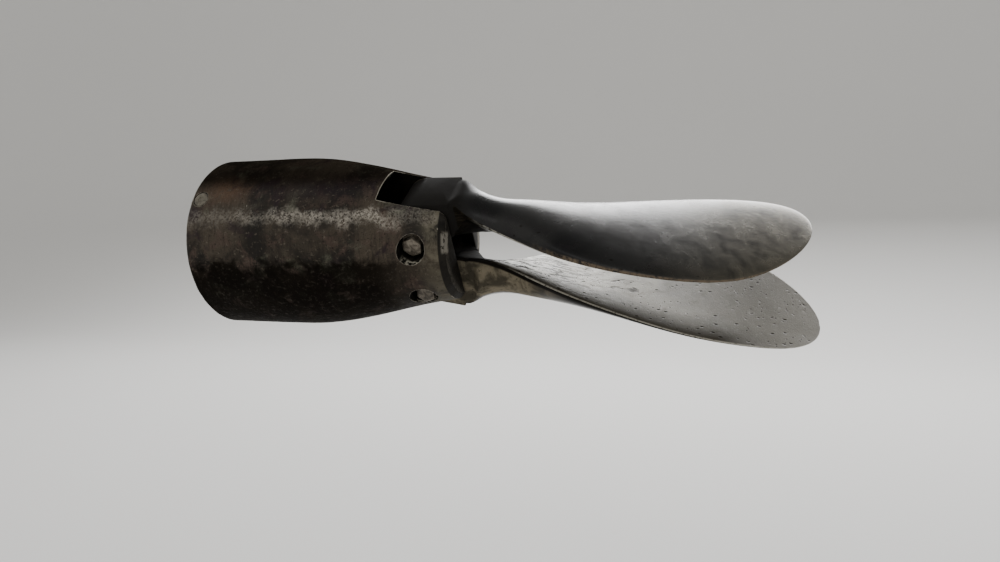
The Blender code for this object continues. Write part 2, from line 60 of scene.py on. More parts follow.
# Each lamp's place, the point it faces, its width and height, and its power in watts.
LAMPS = {
    "back_softbox": ((0.15, 1.55, 0.95), (0.15, 0.0, 0.0), (2.8, 0.8), 66.0),
    "tip_softbox": ((0.86, 1.25, 1.28), (0.28, 0.0, 0.0), (0.75, 0.26), 3.1),
    "front_strip": ((0.0, -1.25, 1.0), (0.1, 0.0, 0.0), (1.9, 0.3), 2.0),
}


def paper_sweep():
    """The floor and backdrop as one bent sheet, from front to top."""
    line = [(FLOOR_FRONT, FLOOR_HEIGHT), (BACKDROP_START, FLOOR_HEIGHT)]
    for step in range(1, SWEEP_STEPS + 1):
        turn = math.pi / 2 * step / SWEEP_STEPS
        line.append((BACKDROP_START + BACKDROP_RADIUS * math.sin(turn),
                     FLOOR_HEIGHT + BACKDROP_RADIUS * (1 - math.cos(turn))))
    line.append((BACKDROP_START + BACKDROP_RADIUS, BACKDROP_TOP))
    mesh = bpy.data.meshes.new("paper_sweep")
    corners = [(x, y, z) for y, z in line for x in (-FLOOR_HALF_WIDTH, FLOOR_HALF_WIDTH)]
    faces = [(2 * i, 2 * i + 1, 2 * i + 3, 2 * i + 2) for i in range(len(line) - 1)]
    mesh.from_pydata(corners, [], faces)
    mesh.shade_smooth()
    return mesh


paper = bpy.data.materials.new("studio_paper")
paper.use_nodes = True
paper_shader = paper.node_tree.nodes["Principled BSDF"]
paper_shader.inputs["Base Color"].default_value = PAPER_COLOUR
paper_shader.inputs["Roughness"].default_value = PAPER_ROUGHNESS
floor = bpy.data.objects.new("studio_floor", paper_sweep())
floor.data.materials.append(paper)
bpy.context.collection.objects.link(floor)

for name, (place, aim, size, power) in LAMPS.items():
    light = bpy.data.lights.new(name, "AREA")
    light.shape = "RECTANGLE"
    light.size, light.size_y = size
    light.energy = power
    stand = bpy.data.objects.new(name, light)
    stand.location = place
    stand.rotation_euler = (Vector(aim) - Vector(place)).to_track_quat("-Z", "Y").to_euler()
    bpy.context.collection.objects.link(stand)

world = bpy.data.worlds.new("studio_air")
bpy.context.scene.world = world
world.use_nodes = True
air = world.node_tree
air.nodes["Background"].inputs["Color"].default_value = DOME_COLOUR
direction = air.nodes.new("ShaderNodeTexCoord")
upward = air.nodes.new("ShaderNodeSeparateXYZ")
falloff = air.nodes.new("ShaderNodeMapRange")
air.links.new(direction.outputs["Generated"], upward.inputs["Vector"])
air.links.new(upward.outputs["Z"], falloff.inputs["Value"])
for socket, value in DOME_FALLOFF.items():
    falloff.inputs[socket].default_value = value
air.links.new(falloff.outputs["Result"], air.nodes["Background"].inputs["Strength"])

forward = Vector((-math.sin(CAMERA_AZIMUTH) * math.cos(CAMERA_TILT),
                  math.cos(CAMERA_AZIMUTH) * math.cos(CAMERA_TILT), math.sin(CAMERA_TILT)))
level_right = Vector((math.cos(CAMERA_AZIMUTH), math.sin(CAMERA_AZIMUTH), 0.0))
level_up = level_right.cross(forward)
right = level_right * math.cos(CAMERA_ROLL) + level_up * math.sin(CAMERA_ROLL)
up = level_up * math.cos(CAMERA_ROLL) - level_right * math.sin(CAMERA_ROLL)
camera = bpy.data.objects.new("camera", bpy.data.cameras.new("camera"))
camera.data.lens = CAMERA_LENS
camera.data.clip_start = 0.01
facing = Matrix((right, up, -forward)).transposed().to_4x4()
camera.matrix_world = Matrix.Translation(CAMERA_PLACE) @ facing
bpy.context.collection.objects.link(camera)
bpy.context.scene.camera = camera

# Hub: a bronze casting turned to a barrel, bored for the shaft and slotted from its aft end so
# that two ears are left for the pins. Years in salt water have tarnished it brown and black and
# pitted it, and handling has worn a paler band along it and pale lines on its edges. The band and
# the edge lines also carry a painted highlight, and the aft end is painted black as shade, with a
# painted lit patch on it.
SLOT_ANGLE = math.radians(56.3)
HUB_TURN = Matrix.Rotation(math.pi - SLOT_ANGLE, 4, "X")
HUB_LENGTH = 0.1344
PIN_STATION = HUB_LENGTH - 0.0161
HUB_SHARES = (0.0, 0.284, 0.511, 0.682, 0.852, 1.0)
HUB_RADII = (0.0448, 0.045, 0.0443, 0.0411, 0.0366, 0.0326)
AFT_RADIUS = 0.0298
FORE_CHAMFER = 0.0008
AFT_CHAMFER_LENGTH = 0.003
AFT_CHAMFER_DEPTH = 0.0026
AFT_CREASE = HUB_LENGTH - AFT_CHAMFER_LENGTH
BORE_RADIUS = 0.0275
WEB_THICKNESS = 0.006
NUT_POCKET_LENGTH = 0.0177
SHAFT_HOLE_RADIUS = 0.0108
NUT_POCKET_RADIUS = 0.0185
SLOT_WIDTH = 0.0274
SLOT_SWEEP_RADIUS = 0.0277
SLOT_BOW_RADIUS = 0.04
SLOT_BOW_SHIFT = 0.0012
EAR_CORNER_RADIUS = 0.0008
PIN_OFFSET = 0.0144
PIN_RADIUS = 0.006
COUNTERBORE_RADIUS = 0.0067
COUNTERBORE_DEPTH = 0.0065
SET_SCREW_RADIUS = 0.0039
SET_SCREW_LENGTH = 0.01
SET_SCREW_STATION = 0.0058
SET_SCREW_ANGLE = math.radians(25.7)
TOUCH_GAP = 0.0003
TURNING_GAP = 0.0004
OVERCUT = 0.003
HUB_SEGMENTS = 360
HUB_STEP = 0.0007
HUB_PIT_SIZE = 0.0016
HUB_PIT_DEPTH = 0.0003
EDGE_WEAR_DEPTH = 0.0002
EDGE_WEAR_REACH = 0.0008
# Up, and toward the camera, in the hub's own axes.
UP = HUB_TURN.to_3x3().inverted() @ Vector((0.0, 0.0, 1.0))
NEAR = HUB_TURN.to_3x3().inverted() @ Vector((0.0, -1.0, 0.0))


def natural_curve(stations, values):
    """The natural cubic through the given stations, as a function of the distance."""
    x, y = np.array(stations), np.array(values)
    h = np.diff(x)
    rows, right_side = np.eye(len(x)), np.zeros(len(x))
    for i in range(1, len(x) - 1):
        rows[i, i - 1:i + 2] = h[i - 1], 2 * (h[i - 1] + h[i]), h[i]
        right_side[i] = 6 * ((y[i + 1] - y[i]) / h[i] - (y[i] - y[i - 1]) / h[i - 1])
    bend = np.linalg.solve(rows, right_side)

    def value(at):
        i = min(max(int(np.searchsorted(x, at)) - 1, 0), len(x) - 2)
        before = (x[i + 1] - at) / h[i]
        after = 1 - before
        curve = (before ** 3 - before) * bend[i] + (after ** 3 - after) * bend[i + 1]
        return float(before * y[i] + after * y[i + 1] + curve * h[i] ** 2 / 6)

    return value


def arc(centre, radius, start, end, count):
    angles = [start + (end - start) * step / (count - 1) for step in range(count)]
    return [(centre[0] + radius * math.cos(a), centre[1] + radius * math.sin(a)) for a in angles]


def soft_step(value, low, high):
    share = min(max((value - low) / (high - low), 0.0), 1.0)
    return share * share * (3 - 2 * share)


def grid_mesh(name, rings, closed):
    """A skin through rings of equal point counts; closed joins the last ring to the first."""
    count = len(rings[0])
    corners = [point for ring in rings for point in ring]
    faces = []
    spans = len(rings) if closed else len(rings) - 1
    for row in range(spans):
        base, following = row * count, ((row + 1) % len(rings)) * count
        for i in range(count):
            j = (i + 1) % count
            faces.append((base + i, base + j, following + j, following + i))
    if not closed:
        faces.append(tuple(reversed(range(count))))
        faces.append(tuple(range((len(rings) - 1) * count, len(rings) * count)))
    mesh = bpy.data.meshes.new(name)
    mesh.from_pydata(corners, [], faces)
    bm = bmesh.new()
    bm.from_mesh(mesh)
    bmesh.ops.recalc_face_normals(bm, faces=bm.faces)
    bm.to_mesh(mesh)
    bm.free()
    return mesh


def spun(profile, segments, upright=False):
    """Rings about the x axis, or upright about z, through (station, radius) points.

    A radius that changes round its ring is given as a function of the angle.
    """
    rings = []
    for station, radius in profile:
        ring = []
        for step in range(segments):
            angle = 2 * math.pi * step / segments
            reach = radius(angle) if callable(radius) else radius
            across, rise = reach * math.cos(angle), reach * math.sin(angle)
            ring.append((across, rise, station) if upright else (station, across, rise))
        rings.append(ring)
    return rings


def add_piece(name, rings, matrix, *finishes, closed=False, smooth_angle=35.0):
    mesh = grid_mesh(name, rings, closed)
    mesh.shade_smooth()
    mesh.set_sharp_from_angle(angle=math.radians(smooth_angle))
    piece = bpy.data.objects.new(name, mesh)
    bpy.context.collection.objects.link(piece)
    piece.matrix_world = matrix
    for finish in finishes:
        mesh.materials.append(finish)
    return piece


def carve(body, tools, operation="DIFFERENCE"):
    """Cuts each tool in turn from the body, or joins it on, and removes the tools."""
    for tool in tools:
        modifier = body.modifiers.new(tool.name, "BOOLEAN")
        modifier.operation = operation
        modifier.solver = "EXACT"
        modifier.material_mode = "TRANSFER"
        modifier.object = tool
    bpy.context.view_layer.update()
    depsgraph = bpy.context.evaluated_depsgraph_get()
    made = bpy.data.meshes.new_from_object(body.evaluated_get(depsgraph), depsgraph=depsgraph)
    made.name = body.name
    body.modifiers.clear()
    body.data = made
    for tool in tools:
        bpy.data.objects.remove(tool)


def wear_edges(piece, depth, reach, sharp=40.0):
    """Rounds and nicks the sharp edges, and stores how near each point is to one as edge_wear."""
    bm = bmesh.new()
    bm.from_mesh(piece.data)
    edge_points = set()
    for edge in bm.edges:
        if len(edge.link_faces) == 2 and edge.calc_face_angle(0.0) > math.radians(sharp):
            edge_points.update(edge.verts)
    tree = kdtree.KDTree(len(edge_points))
    for index, point in enumerate(edge_points):
        tree.insert(point.co, index)
    tree.balance()
    wear = []
    moves = []
    for point in bm.verts:
        distance = tree.find(point.co)[2] if edge_points else reach
        share = 1 - soft_step(distance, 0.0, reach)
        wear.append(share)
        if distance < reach * 0.5:
            nick = 0.6 + 0.5 * noise.noise(point.co / 0.003)
            nick += 0.6 * max(noise.noise(point.co / 0.0011), 0.0)
            moves.append((point, point.normal * (-depth * nick * (1 - distance / (reach * 0.5)))))
    for point, move in moves:
        point.co += move
    bm.to_mesh(piece.data)
    bm.free()
    attribute = piece.data.attributes.new("edge_wear", "FLOAT", "POINT")
    attribute.data.foreach_set("value", np.array(wear, np.float32))


def settle(piece):
    """Keeps each point's own coordinates as own_place, and bakes the piece's place into its mesh."""
    points = np.empty(len(piece.data.vertices) * 3, np.float32)
    piece.data.vertices.foreach_get("co", points)
    piece.data.attributes.new("own_place", "FLOAT_VECTOR", "POINT").data.foreach_set("vector", points)
    piece.data.transform(piece.matrix_world)
    piece.matrix_world = Matrix.Identity(4)


class Finish:
    """One material: a base colour with coats over it, made of nodes around its own shader."""

    def __init__(self, name, base, **sockets):
        self.material = bpy.data.materials.new(name)
        self.material.use_nodes = True
        self.tree = self.material.node_tree
        self.shader = self.tree.nodes["Principled BSDF"]
        for socket, value in sockets.items():
            self.shader.inputs[socket.replace("_", " ")].default_value = value
        self.colour = base
        self.place = self.node("Attribute", {}, "Vector", attribute_name="own_place")

    def feed(self, socket, value):
        if isinstance(value, bpy.types.NodeSocket):
            self.tree.links.new(value, socket)
        elif isinstance(value, (int, float)):
            socket.default_value = value
        else:
            socket.default_value = (*value, 1.0)[:len(socket.default_value)]

    def node(self, kind, inputs, output, **settings):
        """The asked output of a new node."""
        made = self.tree.nodes.new(f"ShaderNode{kind}")
        for key, value in settings.items():
            setattr(made, key, value)
        for socket, value in inputs.items():
            self.feed(made.inputs[socket], value)
        return made.outputs[output]

    def stored(self, name):
        return self.node("Attribute", {}, "Fac", attribute_name=name)

    def stretched(self, x, y, z):
        """The piece's own coordinates, scaled along each axis."""
        return self.node("VectorMath", {0: self.place, 1: (x, y, z)}, 0, operation="MULTIPLY")

    def along(self, direction):
        """How far each point lies along a direction."""
        return self.node("VectorMath", {0: self.place, 1: direction}, "Value", operation="DOT_PRODUCT")

    def from_shaft(self):
        """How far each point of a hub piece lies from the shaft axis."""
        return self.node("VectorMath", {0: self.stretched(0.0, 1.0, 1.0)}, "Value", operation="LENGTH")

    def clouds(self, size, detail=4.0, roughness=0.55, distortion=0.0, place=None):
        """Soft noise whose patches are about the given size in metres."""
        inputs = {"Vector": place or self.place, "Scale": 1.0 / size, "Detail": detail}
        inputs.update({"Roughness": roughness, "Distortion": distortion})
        return self.node("TexNoise", inputs, "Fac")

    def cells(self, size, place=None):
        """The distance to the nearest of many scattered points, in cell widths."""
        return self.node("TexVoronoi", {"Vector": place or self.place, "Scale": 1.0 / size}, "Distance")

    def calc(self, operation, a, b=0.0):
        return self.node("Math", {0: a, 1: b}, 0, operation=operation)

    def times(self, first, *others):
        """All the values multiplied."""
        for other in others:
            first = self.calc("MULTIPLY", first, other)
        return first

    def most(self, first, *others):
        """The largest of the values."""
        for other in others:
            first = self.calc("MAXIMUM", first, other)
        return first

    def ramp(self, value, low, high, start=0.0, end=1.0):
        """start at low, end at high, and smooth in the middle."""
        inputs = {"Value": value, "From Min": low, "From Max": high, "To Min": start, "To Max": end}
        return self.node("MapRange", inputs, "Result", interpolation_type="SMOOTHSTEP")

    def until(self, value, low, high):
        """1 up to low, falling to 0 at high."""
        return self.ramp(value, low, high, 1.0, 0.0)

    def bump_at(self, value, middle, half):
        """1 at the middle, falling to 0 at half away on each side."""
        return self.until(self.calc("ABSOLUTE", self.calc("SUBTRACT", value, middle)), 0.0, half)

    def over(self, share, below, above):
        """Colour above laid over colour below by share."""
        return self.node("Mix", {0: share, 6: below, 7: above}, 2, data_type="RGBA")

    def coat(self, share, above, strength=None):
        """Lays a colour over the coats so far by share, weakened by strength."""
        share = share if strength is None else self.times(share, strength)
        self.colour = self.over(share, self.colour, above)

    def relief(self, height, distance, strength):
        inputs = {"Distance": distance, "Strength": strength, "Height": height}
        return self.node("Bump", inputs, "Normal")

    def done(self, roughness, normal, metallic=None, gloss=None):
        for socket, value in {"Base Color": self.colour, "Roughness": roughness, "Normal": normal,
                              "Metallic": metallic, "Specular IOR Level": gloss}.items():
            if value is not None:
                self.feed(self.shader.inputs[socket], value)
        return self.material


hub_radius = natural_curve([PIN_STATION * share for share in HUB_SHARES] + [HUB_LENGTH],
                           [*HUB_RADII, AFT_RADIUS])
half_slot = SLOT_WIDTH / 2


def fore_wall_shift(z):
    """How far aft of the sweep about the pins the slot's bowed fore wall stands at z."""
    return SLOT_BOW_RADIUS - math.sqrt(SLOT_BOW_RADIUS ** 2 - z ** 2) - SLOT_BOW_SHIFT


pocket_meets_slot = PIN_STATION - math.sqrt(SLOT_SWEEP_RADIUS ** 2 - PIN_OFFSET ** 2)
POCKET_END = pocket_meets_slot + fore_wall_shift(half_slot) + TOUCH_GAP
WEB_AFT = POCKET_END - NUT_POCKET_LENGTH
BORE_DEPTH = WEB_AFT - WEB_THICKNESS


def tarnished_skin():
    """Brown, black and purple tarnish with greenish grey between, pits, and the worn band, which
    also carries a painted highlight; painted highlight on the worn edges, and painted shade and a
    painted lit patch on the aft end.
    """
    skin = Finish("hub_tarnish", (0.014, 0.012, 0.01))
    height, near = skin.along(UP), skin.along(NEAR)
    station = skin.along((1.0, 0.0, 0.0))
    broad = skin.clouds(0.03, 4.0, 0.6, 0.5)
    mid = skin.clouds(0.01, 5.0, 0.64, 0.5)
    fine = skin.clouds(0.002, 4.0, 0.72)
    grit = skin.clouds(0.0007, 3.0, 0.75)
    hoops = skin.clouds(0.0015, 4.0, 0.65, 0.0, skin.stretched(1.0, 0.12, 0.12))
    skin.coat(skin.ramp(broad, 0.38, 0.62), (0.06, 0.048, 0.035))
    skin.coat(skin.ramp(mid, 0.5, 0.68, 0.0, 0.8), (0.072, 0.05, 0.04))
    green = skin.ramp(skin.clouds(0.018, 4.0, 0.6, 0.3), 0.54, 0.68)
    skin.coat(green, (0.085, 0.085, 0.062), 0.75)
    purple = skin.ramp(skin.clouds(0.016, 3.0, 0.5, 0.6, skin.stretched(1.0, 1.3, 0.8)), 0.56, 0.7)
    skin.coat(purple, (0.021, 0.012, 0.016), 0.88)
    skin.coat(skin.ramp(hoops, 0.5, 0.62, 0.0, 0.4), (0.02, 0.016, 0.013))
    shoulder = skin.times(skin.bump_at(height, 0.027, 0.01), skin.ramp(mid, 0.3, 0.52))
    brown = skin.times(shoulder, skin.bump_at(station, 0.02, 0.02))
    skin.coat(brown, (0.105, 0.064, 0.04), 0.9)
    dusk = skin.times(shoulder, skin.bump_at(station, 0.072, 0.038))
    skin.coat(dusk, (0.016, 0.01, 0.013), 0.85)
    skin.coat(skin.ramp(fine, 0.56, 0.7, 0.0, 0.55), (0.135, 0.116, 0.088))
    skin.coat(skin.ramp(grit, 0.54, 0.66, 0.0, 0.75), (0.014, 0.011, 0.009))
    bare_ear = skin.times(skin.ramp(station, 0.118, 0.129), skin.ramp(mid, 0.36, 0.56))
    skin.coat(bare_ear, (0.15, 0.136, 0.098), 0.6)
    # Darker over the top of the hub and along its underside, set by height.
    crown = skin.ramp(height, 0.024, 0.033, 0.0, 0.74)
    ragged = skin.calc("ADD", height, skin.ramp(mid, 0.3, 0.7, -0.003, 0.003))
    belly = skin.times(skin.ramp(ragged, -0.013, -0.006, 0.92, 0.0),
                       skin.ramp(mid, 0.5, 0.72, 1.0, 0.72), skin.ramp(fine, 0.5, 0.7, 1.0, 0.8),
                       skin.ramp(station, 0.098, 0.122, 1.0, 0.35))
    dark_top_and_belly = skin.most(crown, belly)
    skin.coat(dark_top_and_belly, (0.005, 0.004, 0.003))
    # The pale band: partly worn, pitted metal and partly a painted highlight, on the side toward the
    # camera.
    band = skin.times(skin.bump_at(ragged, 0.0122, 0.0058), skin.ramp(near, 0.0, 0.01),
                      skin.ramp(station, 0.022, 0.056, 0.3, 1.0),
                      skin.ramp(station, 0.1, 0.116, 1.0, 0.5))
    chips = skin.clouds(0.0011, 4.0, 0.75)
    speckle = skin.most(skin.ramp(chips, 0.4, 0.56), skin.ramp(hoops, 0.52, 0.62, 0.0, 0.8))
    speckle = skin.times(speckle, skin.ramp(fine, 0.3, 0.52, 0.35, 1.0))
    worn = skin.times(band, speckle, skin.ramp(skin.clouds(0.03, 3.0), 0.34, 0.56, 0.5, 1.0))
    skin.coat(worn, (0.38, 0.345, 0.29), 0.9)
    pits = skin.until(skin.cells(0.0019, skin.stretched(1.0, 0.8, 0.8)), 0.06, 0.24)
    pits = skin.times(pits, skin.most(skin.ramp(mid, 0.46, 0.6), band))
    skin.coat(pits, (0.005, 0.004, 0.003), 0.7)
    # Painted shade: the aft chamfer and the aft end face are painted near black.
    chamfer = skin.ramp(station, AFT_CREASE - 0.0002, AFT_CREASE + 0.0003)
    skin.coat(chamfer, (0.007, 0.006, 0.005), 0.92)
    # Painted light: a pale patch on the aft end face, around the middle height and in its outer part.
    aft_end_lit_patch = skin.times(skin.ramp(station, HUB_LENGTH - 0.0022, HUB_LENGTH - 0.0012),
                        skin.ramp(skin.bump_at(height, -0.0006, 0.0076), 0.1, 0.45),
                        skin.ramp(skin.from_shaft(), 0.0225, 0.0242),
                        skin.ramp(skin.clouds(0.0022, 4.0, 0.65), 0.36, 0.5))
    skin.coat(aft_end_lit_patch, (0.2, 0.185, 0.155), 0.85)
    # Pale lines along the sharp edges: worn metal with a painted edge highlight; slot_end adds painted
    # highlight on the edges at the slot's fore end, high up.
    near_edge = skin.stored("edge_wear")
    rim = skin.times(skin.ramp(near_edge, 0.6, 0.97), skin.ramp(fine, 0.34, 0.58),
                     skin.ramp(station, HUB_LENGTH - 0.0018, HUB_LENGTH - 0.001, 1.0, 0.12),
                     skin.ramp(station, 0.00005, 0.0004, 0.06, 1.0))
    slot_end = skin.times(skin.bump_at(station, 0.102, 0.0045), skin.ramp(height, 0.016, 0.022))
    slot_end = skin.times(skin.ramp(slot_end, 0.05, 0.3), skin.ramp(near_edge, 0.3, 0.75))
    rim = skin.most(rim, slot_end)
    skin.coat(rim, (0.36, 0.33, 0.27), 0.9)
    bright = skin.most(worn, rim)
    gloss = skin.calc("ADD", skin.times(bright, 0.4), 0.12)
    gloss = skin.times(skin.calc("SUBTRACT", 1.0, dark_top_and_belly), gloss, skin.until(height, 0.024, 0.033))
    rough = skin.ramp(mid, 0.3, 0.72, 0.52, 0.74)
    grain = skin.calc("ADD", skin.times(fine, 0.9), skin.times(hoops, 0.6))
    grain = skin.calc("SUBTRACT", grain, skin.times(pits, 1.2))
    return skin.done(rough, skin.relief(grain, 0.00035, 0.8), skin.times(bright, 0.4), gloss)


def slot_shade():
    """Milled walls of the slot, painted black as shade, but for a painted lit crescent under the fore rim
    with fine lines.
    """
    wall = Finish("slot_shade", (0.003, 0.0025, 0.002), Specular_IOR_Level=0.04)
    mid = wall.clouds(0.009, 5.0, 0.6)
    station, out = wall.along((1.0, 0.0, 0.0)), wall.from_shaft()
    lines = wall.clouds(0.0009, 2.0, 0.5, 0.0, wall.stretched(1.0, 1.0, 0.02))
    wall.coat(wall.ramp(mid, 0.4, 0.65), (0.009, 0.008, 0.006))
    # The flat side walls and the end face have points only at their edges, so they are masked.
    beside = wall.calc("ABSOLUTE", wall.along((0.0, 0.0, 1.0)))
    fore_only = wall.until(beside, half_slot - 0.0008, half_slot - 0.0003)
    # Painted light: the pale crescent on the fore wall under the rim.
    lit = wall.times(wall.until(station, 0.1035, 0.106), wall.ramp(out, 0.032, 0.0375),
                     wall.ramp(lines, 0.38, 0.62, 0.35, 1.0), fore_only)
    wall.coat(lit, (0.17, 0.17, 0.14), 0.8)
    # The pale rim on the fore wall's edge: worn metal with a painted edge highlight.
    rim = wall.times(wall.ramp(wall.stored("edge_wear"), 0.6, 0.97),
                     wall.ramp(wall.clouds(0.0022), 0.34, 0.58), fore_only,
                     wall.until(station, HUB_LENGTH - 0.0005, HUB_LENGTH - 0.0001),
                     wall.ramp(out, 0.024, 0.034))
    wall.coat(rim, (0.34, 0.31, 0.25))
    return wall.done(0.66, wall.relief(lines, 0.00025, 0.7))


def recess_shade(name, axis_at):
    """Wall of a drilled recess, painted black as shade, with painted light on the lower part of its lip.
    """
    wall = Finish(name, (0.003, 0.0025, 0.002), Specular_IOR_Level=0.05)
    mid = wall.clouds(0.004, 5.0, 0.65)
    wall.coat(wall.ramp(mid, 0.45, 0.65), (0.014, 0.012, 0.009))
    low = wall.until(wall.along((0.0, 1.0, 0.0)), axis_at - 0.0062, axis_at - 0.003)
    # Painted light on the lower part of the lip.
    lit_lip = wall.times(low, wall.ramp(wall.from_shaft(), 0.0285, 0.031),
                       wall.ramp(wall.clouds(0.0014, 3.0), 0.44, 0.56))
    wall.coat(lit_lip, (0.34, 0.32, 0.26))
    return wall.done(0.66, wall.relief(mid, 0.0003, 0.8))


def machined_bore():
    """The turned bore and nut pocket, dull bronze with fine tool rings."""
    bore = Finish("hub_bore", (0.085, 0.066, 0.04), Metallic=0.8)
    rings = bore.clouds(0.0009, 2.0, 0.5, 0.0, bore.stretched(1.0, 0.02, 0.02))
    stain = bore.clouds(0.014, 4.0)
    bore.coat(bore.ramp(stain, 0.35, 0.65), (0.2, 0.155, 0.09))
    return bore.done(bore.ramp(rings, 0.3, 0.7, 0.35, 0.5), bore.relief(rings, 0.0001, 0.5))


def eaten_skin(x, r):
    """The skin's radius at each angle, less gentle waves in the casting and small pits."""
    if r < 0.8 * hub_radius(x):
        return r

    def radius(angle):
        at = Vector((x, r * math.cos(angle), r * math.sin(angle)))
        wave = 0.00008 * (1 + noise.noise(at / 0.016)) + 0.00005 * (1 + noise.noise(at / 0.005))
        patch = soft_step(noise.noise(at / 0.013 + Vector((3.1, 0.0, 0.0))), -0.05, 0.35)
        pit = 1 - soft_step(noise.voronoi(at / HUB_PIT_SIZE)[0][0], 0.12, 0.42)
        edge = min(x, HUB_LENGTH - x) / 0.004
        return r - (wave + HUB_PIT_DEPTH * pit * patch * min(edge, 1.0))

    return radius


count = round(HUB_LENGTH / HUB_STEP)
stations = [HUB_LENGTH * i / count for i in range(1, count)]
outer = [(x, hub_radius(x)) for x in stations if FORE_CHAMFER <= x <= AFT_CREASE]
crease = hub_radius(AFT_CREASE)
fall = crease - AFT_RADIUS + AFT_CHAMFER_DEPTH
outer += [(AFT_CREASE + AFT_CHAMFER_LENGTH * i / 5, crease - fall * i / 5) for i in range(5)]
profile = [(0.0, BORE_RADIUS)]
profile += [(0.0, HUB_RADII[0] - FORE_CHAMFER), *outer, (HUB_LENGTH, AFT_RADIUS - AFT_CHAMFER_DEPTH)]
profile += [(HUB_LENGTH, SHAFT_HOLE_RADIUS), (POCKET_END, SHAFT_HOLE_RADIUS)]
profile += [(POCKET_END, NUT_POCKET_RADIUS), (WEB_AFT, NUT_POCKET_RADIUS), (WEB_AFT, SHAFT_HOLE_RADIUS)]
profile += [(BORE_DEPTH, SHAFT_HOLE_RADIUS), (BORE_DEPTH, BORE_RADIUS)]
hub = add_piece("hub_casting", spun([(x, eaten_skin(x, r)) for x, r in profile], HUB_SEGMENTS), HUB_TURN,
                tarnished_skin(), machined_bore(), closed=True)
for face in hub.data.polygons:
    middle = face.center
    inside = math.hypot(middle.y, middle.z) < BORE_RADIUS + 0.0002
    # The end face and the ears' insides keep the tarnish; only what is fore of them was turned.
    face.material_index = 1 if inside and 0.0001 < middle.x < POCKET_END + 0.001 else 0

slot_reach = max(HUB_RADII) + OVERCUT
meet = math.asin(PIN_OFFSET / SLOT_SWEEP_RADIUS)
fore_wall = arc((PIN_STATION, PIN_OFFSET), SLOT_SWEEP_RADIUS, math.pi / 2, math.pi + meet, 60)
fore_wall += arc((PIN_STATION, -PIN_OFFSET), SLOT_SWEEP_RADIUS, math.pi - meet, 1.5 * math.pi, 60)[1:]
slot_rings = []
for z in np.linspace(-half_slot, half_slot, 33):
    ring = [(HUB_LENGTH + OVERCUT, slot_reach, z), (PIN_STATION, slot_reach, z)]
    ring += [(x + fore_wall_shift(z), y, z) for x, y in fore_wall]
    ring += [(PIN_STATION, -slot_reach, z), (HUB_LENGTH + OVERCUT, -slot_reach, z)]
    slot_rings.append(ring)
slot_finish = slot_shade()
tools = [add_piece("slot_tool", slot_rings, HUB_TURN, slot_finish)]
corner = HUB_LENGTH - EAR_CORNER_RADIUS
flare = arc((corner, half_slot + EAR_CORNER_RADIUS), EAR_CORNER_RADIUS, -math.pi / 2, 0.0, 17)
mouth = [(corner - OVERCUT, half_slot * 0.9), *flare]
mouth += [(HUB_LENGTH + OVERCUT, half_slot + EAR_CORNER_RADIUS)]
mouth += [(x, -z) for x, z in reversed(mouth)]
mouth_rings = [[(x, y, z) for x, z in mouth] for y in (-slot_reach, slot_reach)]
tools.append(add_piece("mouth_tool", mouth_rings, HUB_TURN, slot_finish))

ear_face = math.sqrt(hub_radius(PIN_STATION) ** 2 - PIN_OFFSET ** 2)
recess_floor = ear_face - COUNTERBORE_DEPTH
hole_radius = PIN_RADIUS + TOUCH_GAP
pin_places = {"upper": PIN_OFFSET, "lower": -PIN_OFFSET}
for side, offset in pin_places.items():
    recess_finish = recess_shade(f"{side}_recess_shade", offset)
    reach = ear_face + 4 * OVERCUT
    hole = [(recess_floor, hole_radius), (recess_floor, COUNTERBORE_RADIUS), (reach, COUNTERBORE_RADIUS)]
    hole = [(-z, r) for z, r in reversed(hole)] + hole
    at_pin = HUB_TURN @ Matrix.Translation((PIN_STATION, offset, 0.0))
    hole_rings = spun(hole, 72, upright=True)
    tools.append(add_piece(f"{side}_hole_tool", hole_rings, at_pin, recess_finish))
screw_top = hub_radius(SET_SCREW_STATION) - TOUCH_GAP
screw_places = {}
for side, turn in {"near": 0.0, "far": math.pi}.items():
    outward = Vector((0.0, math.cos(SET_SCREW_ANGLE + turn), math.sin(SET_SCREW_ANGLE + turn)))
    aim = outward.to_track_quat("Z", "Y").to_matrix().to_4x4()
    screw_places[side] = HUB_TURN @ Matrix.Translation((SET_SCREW_STATION, 0.0, 0.0)) @ aim
    ends = (screw_top - SET_SCREW_LENGTH - TOUCH_GAP, screw_top + OVERCUT)
    hole_rings = spun([(z, SET_SCREW_RADIUS + TOUCH_GAP) for z in ends], 48, upright=True)
    tools.append(add_piece(f"{side}_screw_hole_tool", hole_rings, screw_places[side], recess_finish))
carve(hub, tools)
wear_edges(hub, EDGE_WEAR_DEPTH, EDGE_WEAR_REACH)
hub.data.set_sharp_from_angle(angle=math.radians(45))
settle(hub)
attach(hub, "hub_assembly")
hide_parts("hub")

# Damper ring: a moulded rubber collar, pressed into the hub's bore around the sleeve, that takes up
# the shocks between the shaft and the hub.
DAMPER_THICKNESS = 0.005
DAMPER_FORE_SETBACK = 0.002
DAMPER_EDGE = 0.0006
damper_outer = BORE_RADIUS - TOUCH_GAP
damper_inner = damper_outer - DAMPER_THICKNESS
damper_aft = BORE_DEPTH - TOUCH_GAP


def rounded_ring(fore, aft, inner, outer, edge, steps=4):
    """A ring's section as a closed loop with rounded corners."""
    corners = [(aft - edge, outer - edge, 0.5), (fore + edge, outer - edge, 1.0)]
    corners += [(fore + edge, inner + edge, 1.5), (aft - edge, inner + edge, 2.0)]
    loop = []
    for x, r, end in corners:
        start = (end - 0.5) * math.pi
        loop += arc((x, r), edge, start, end * math.pi, steps)
    return loop


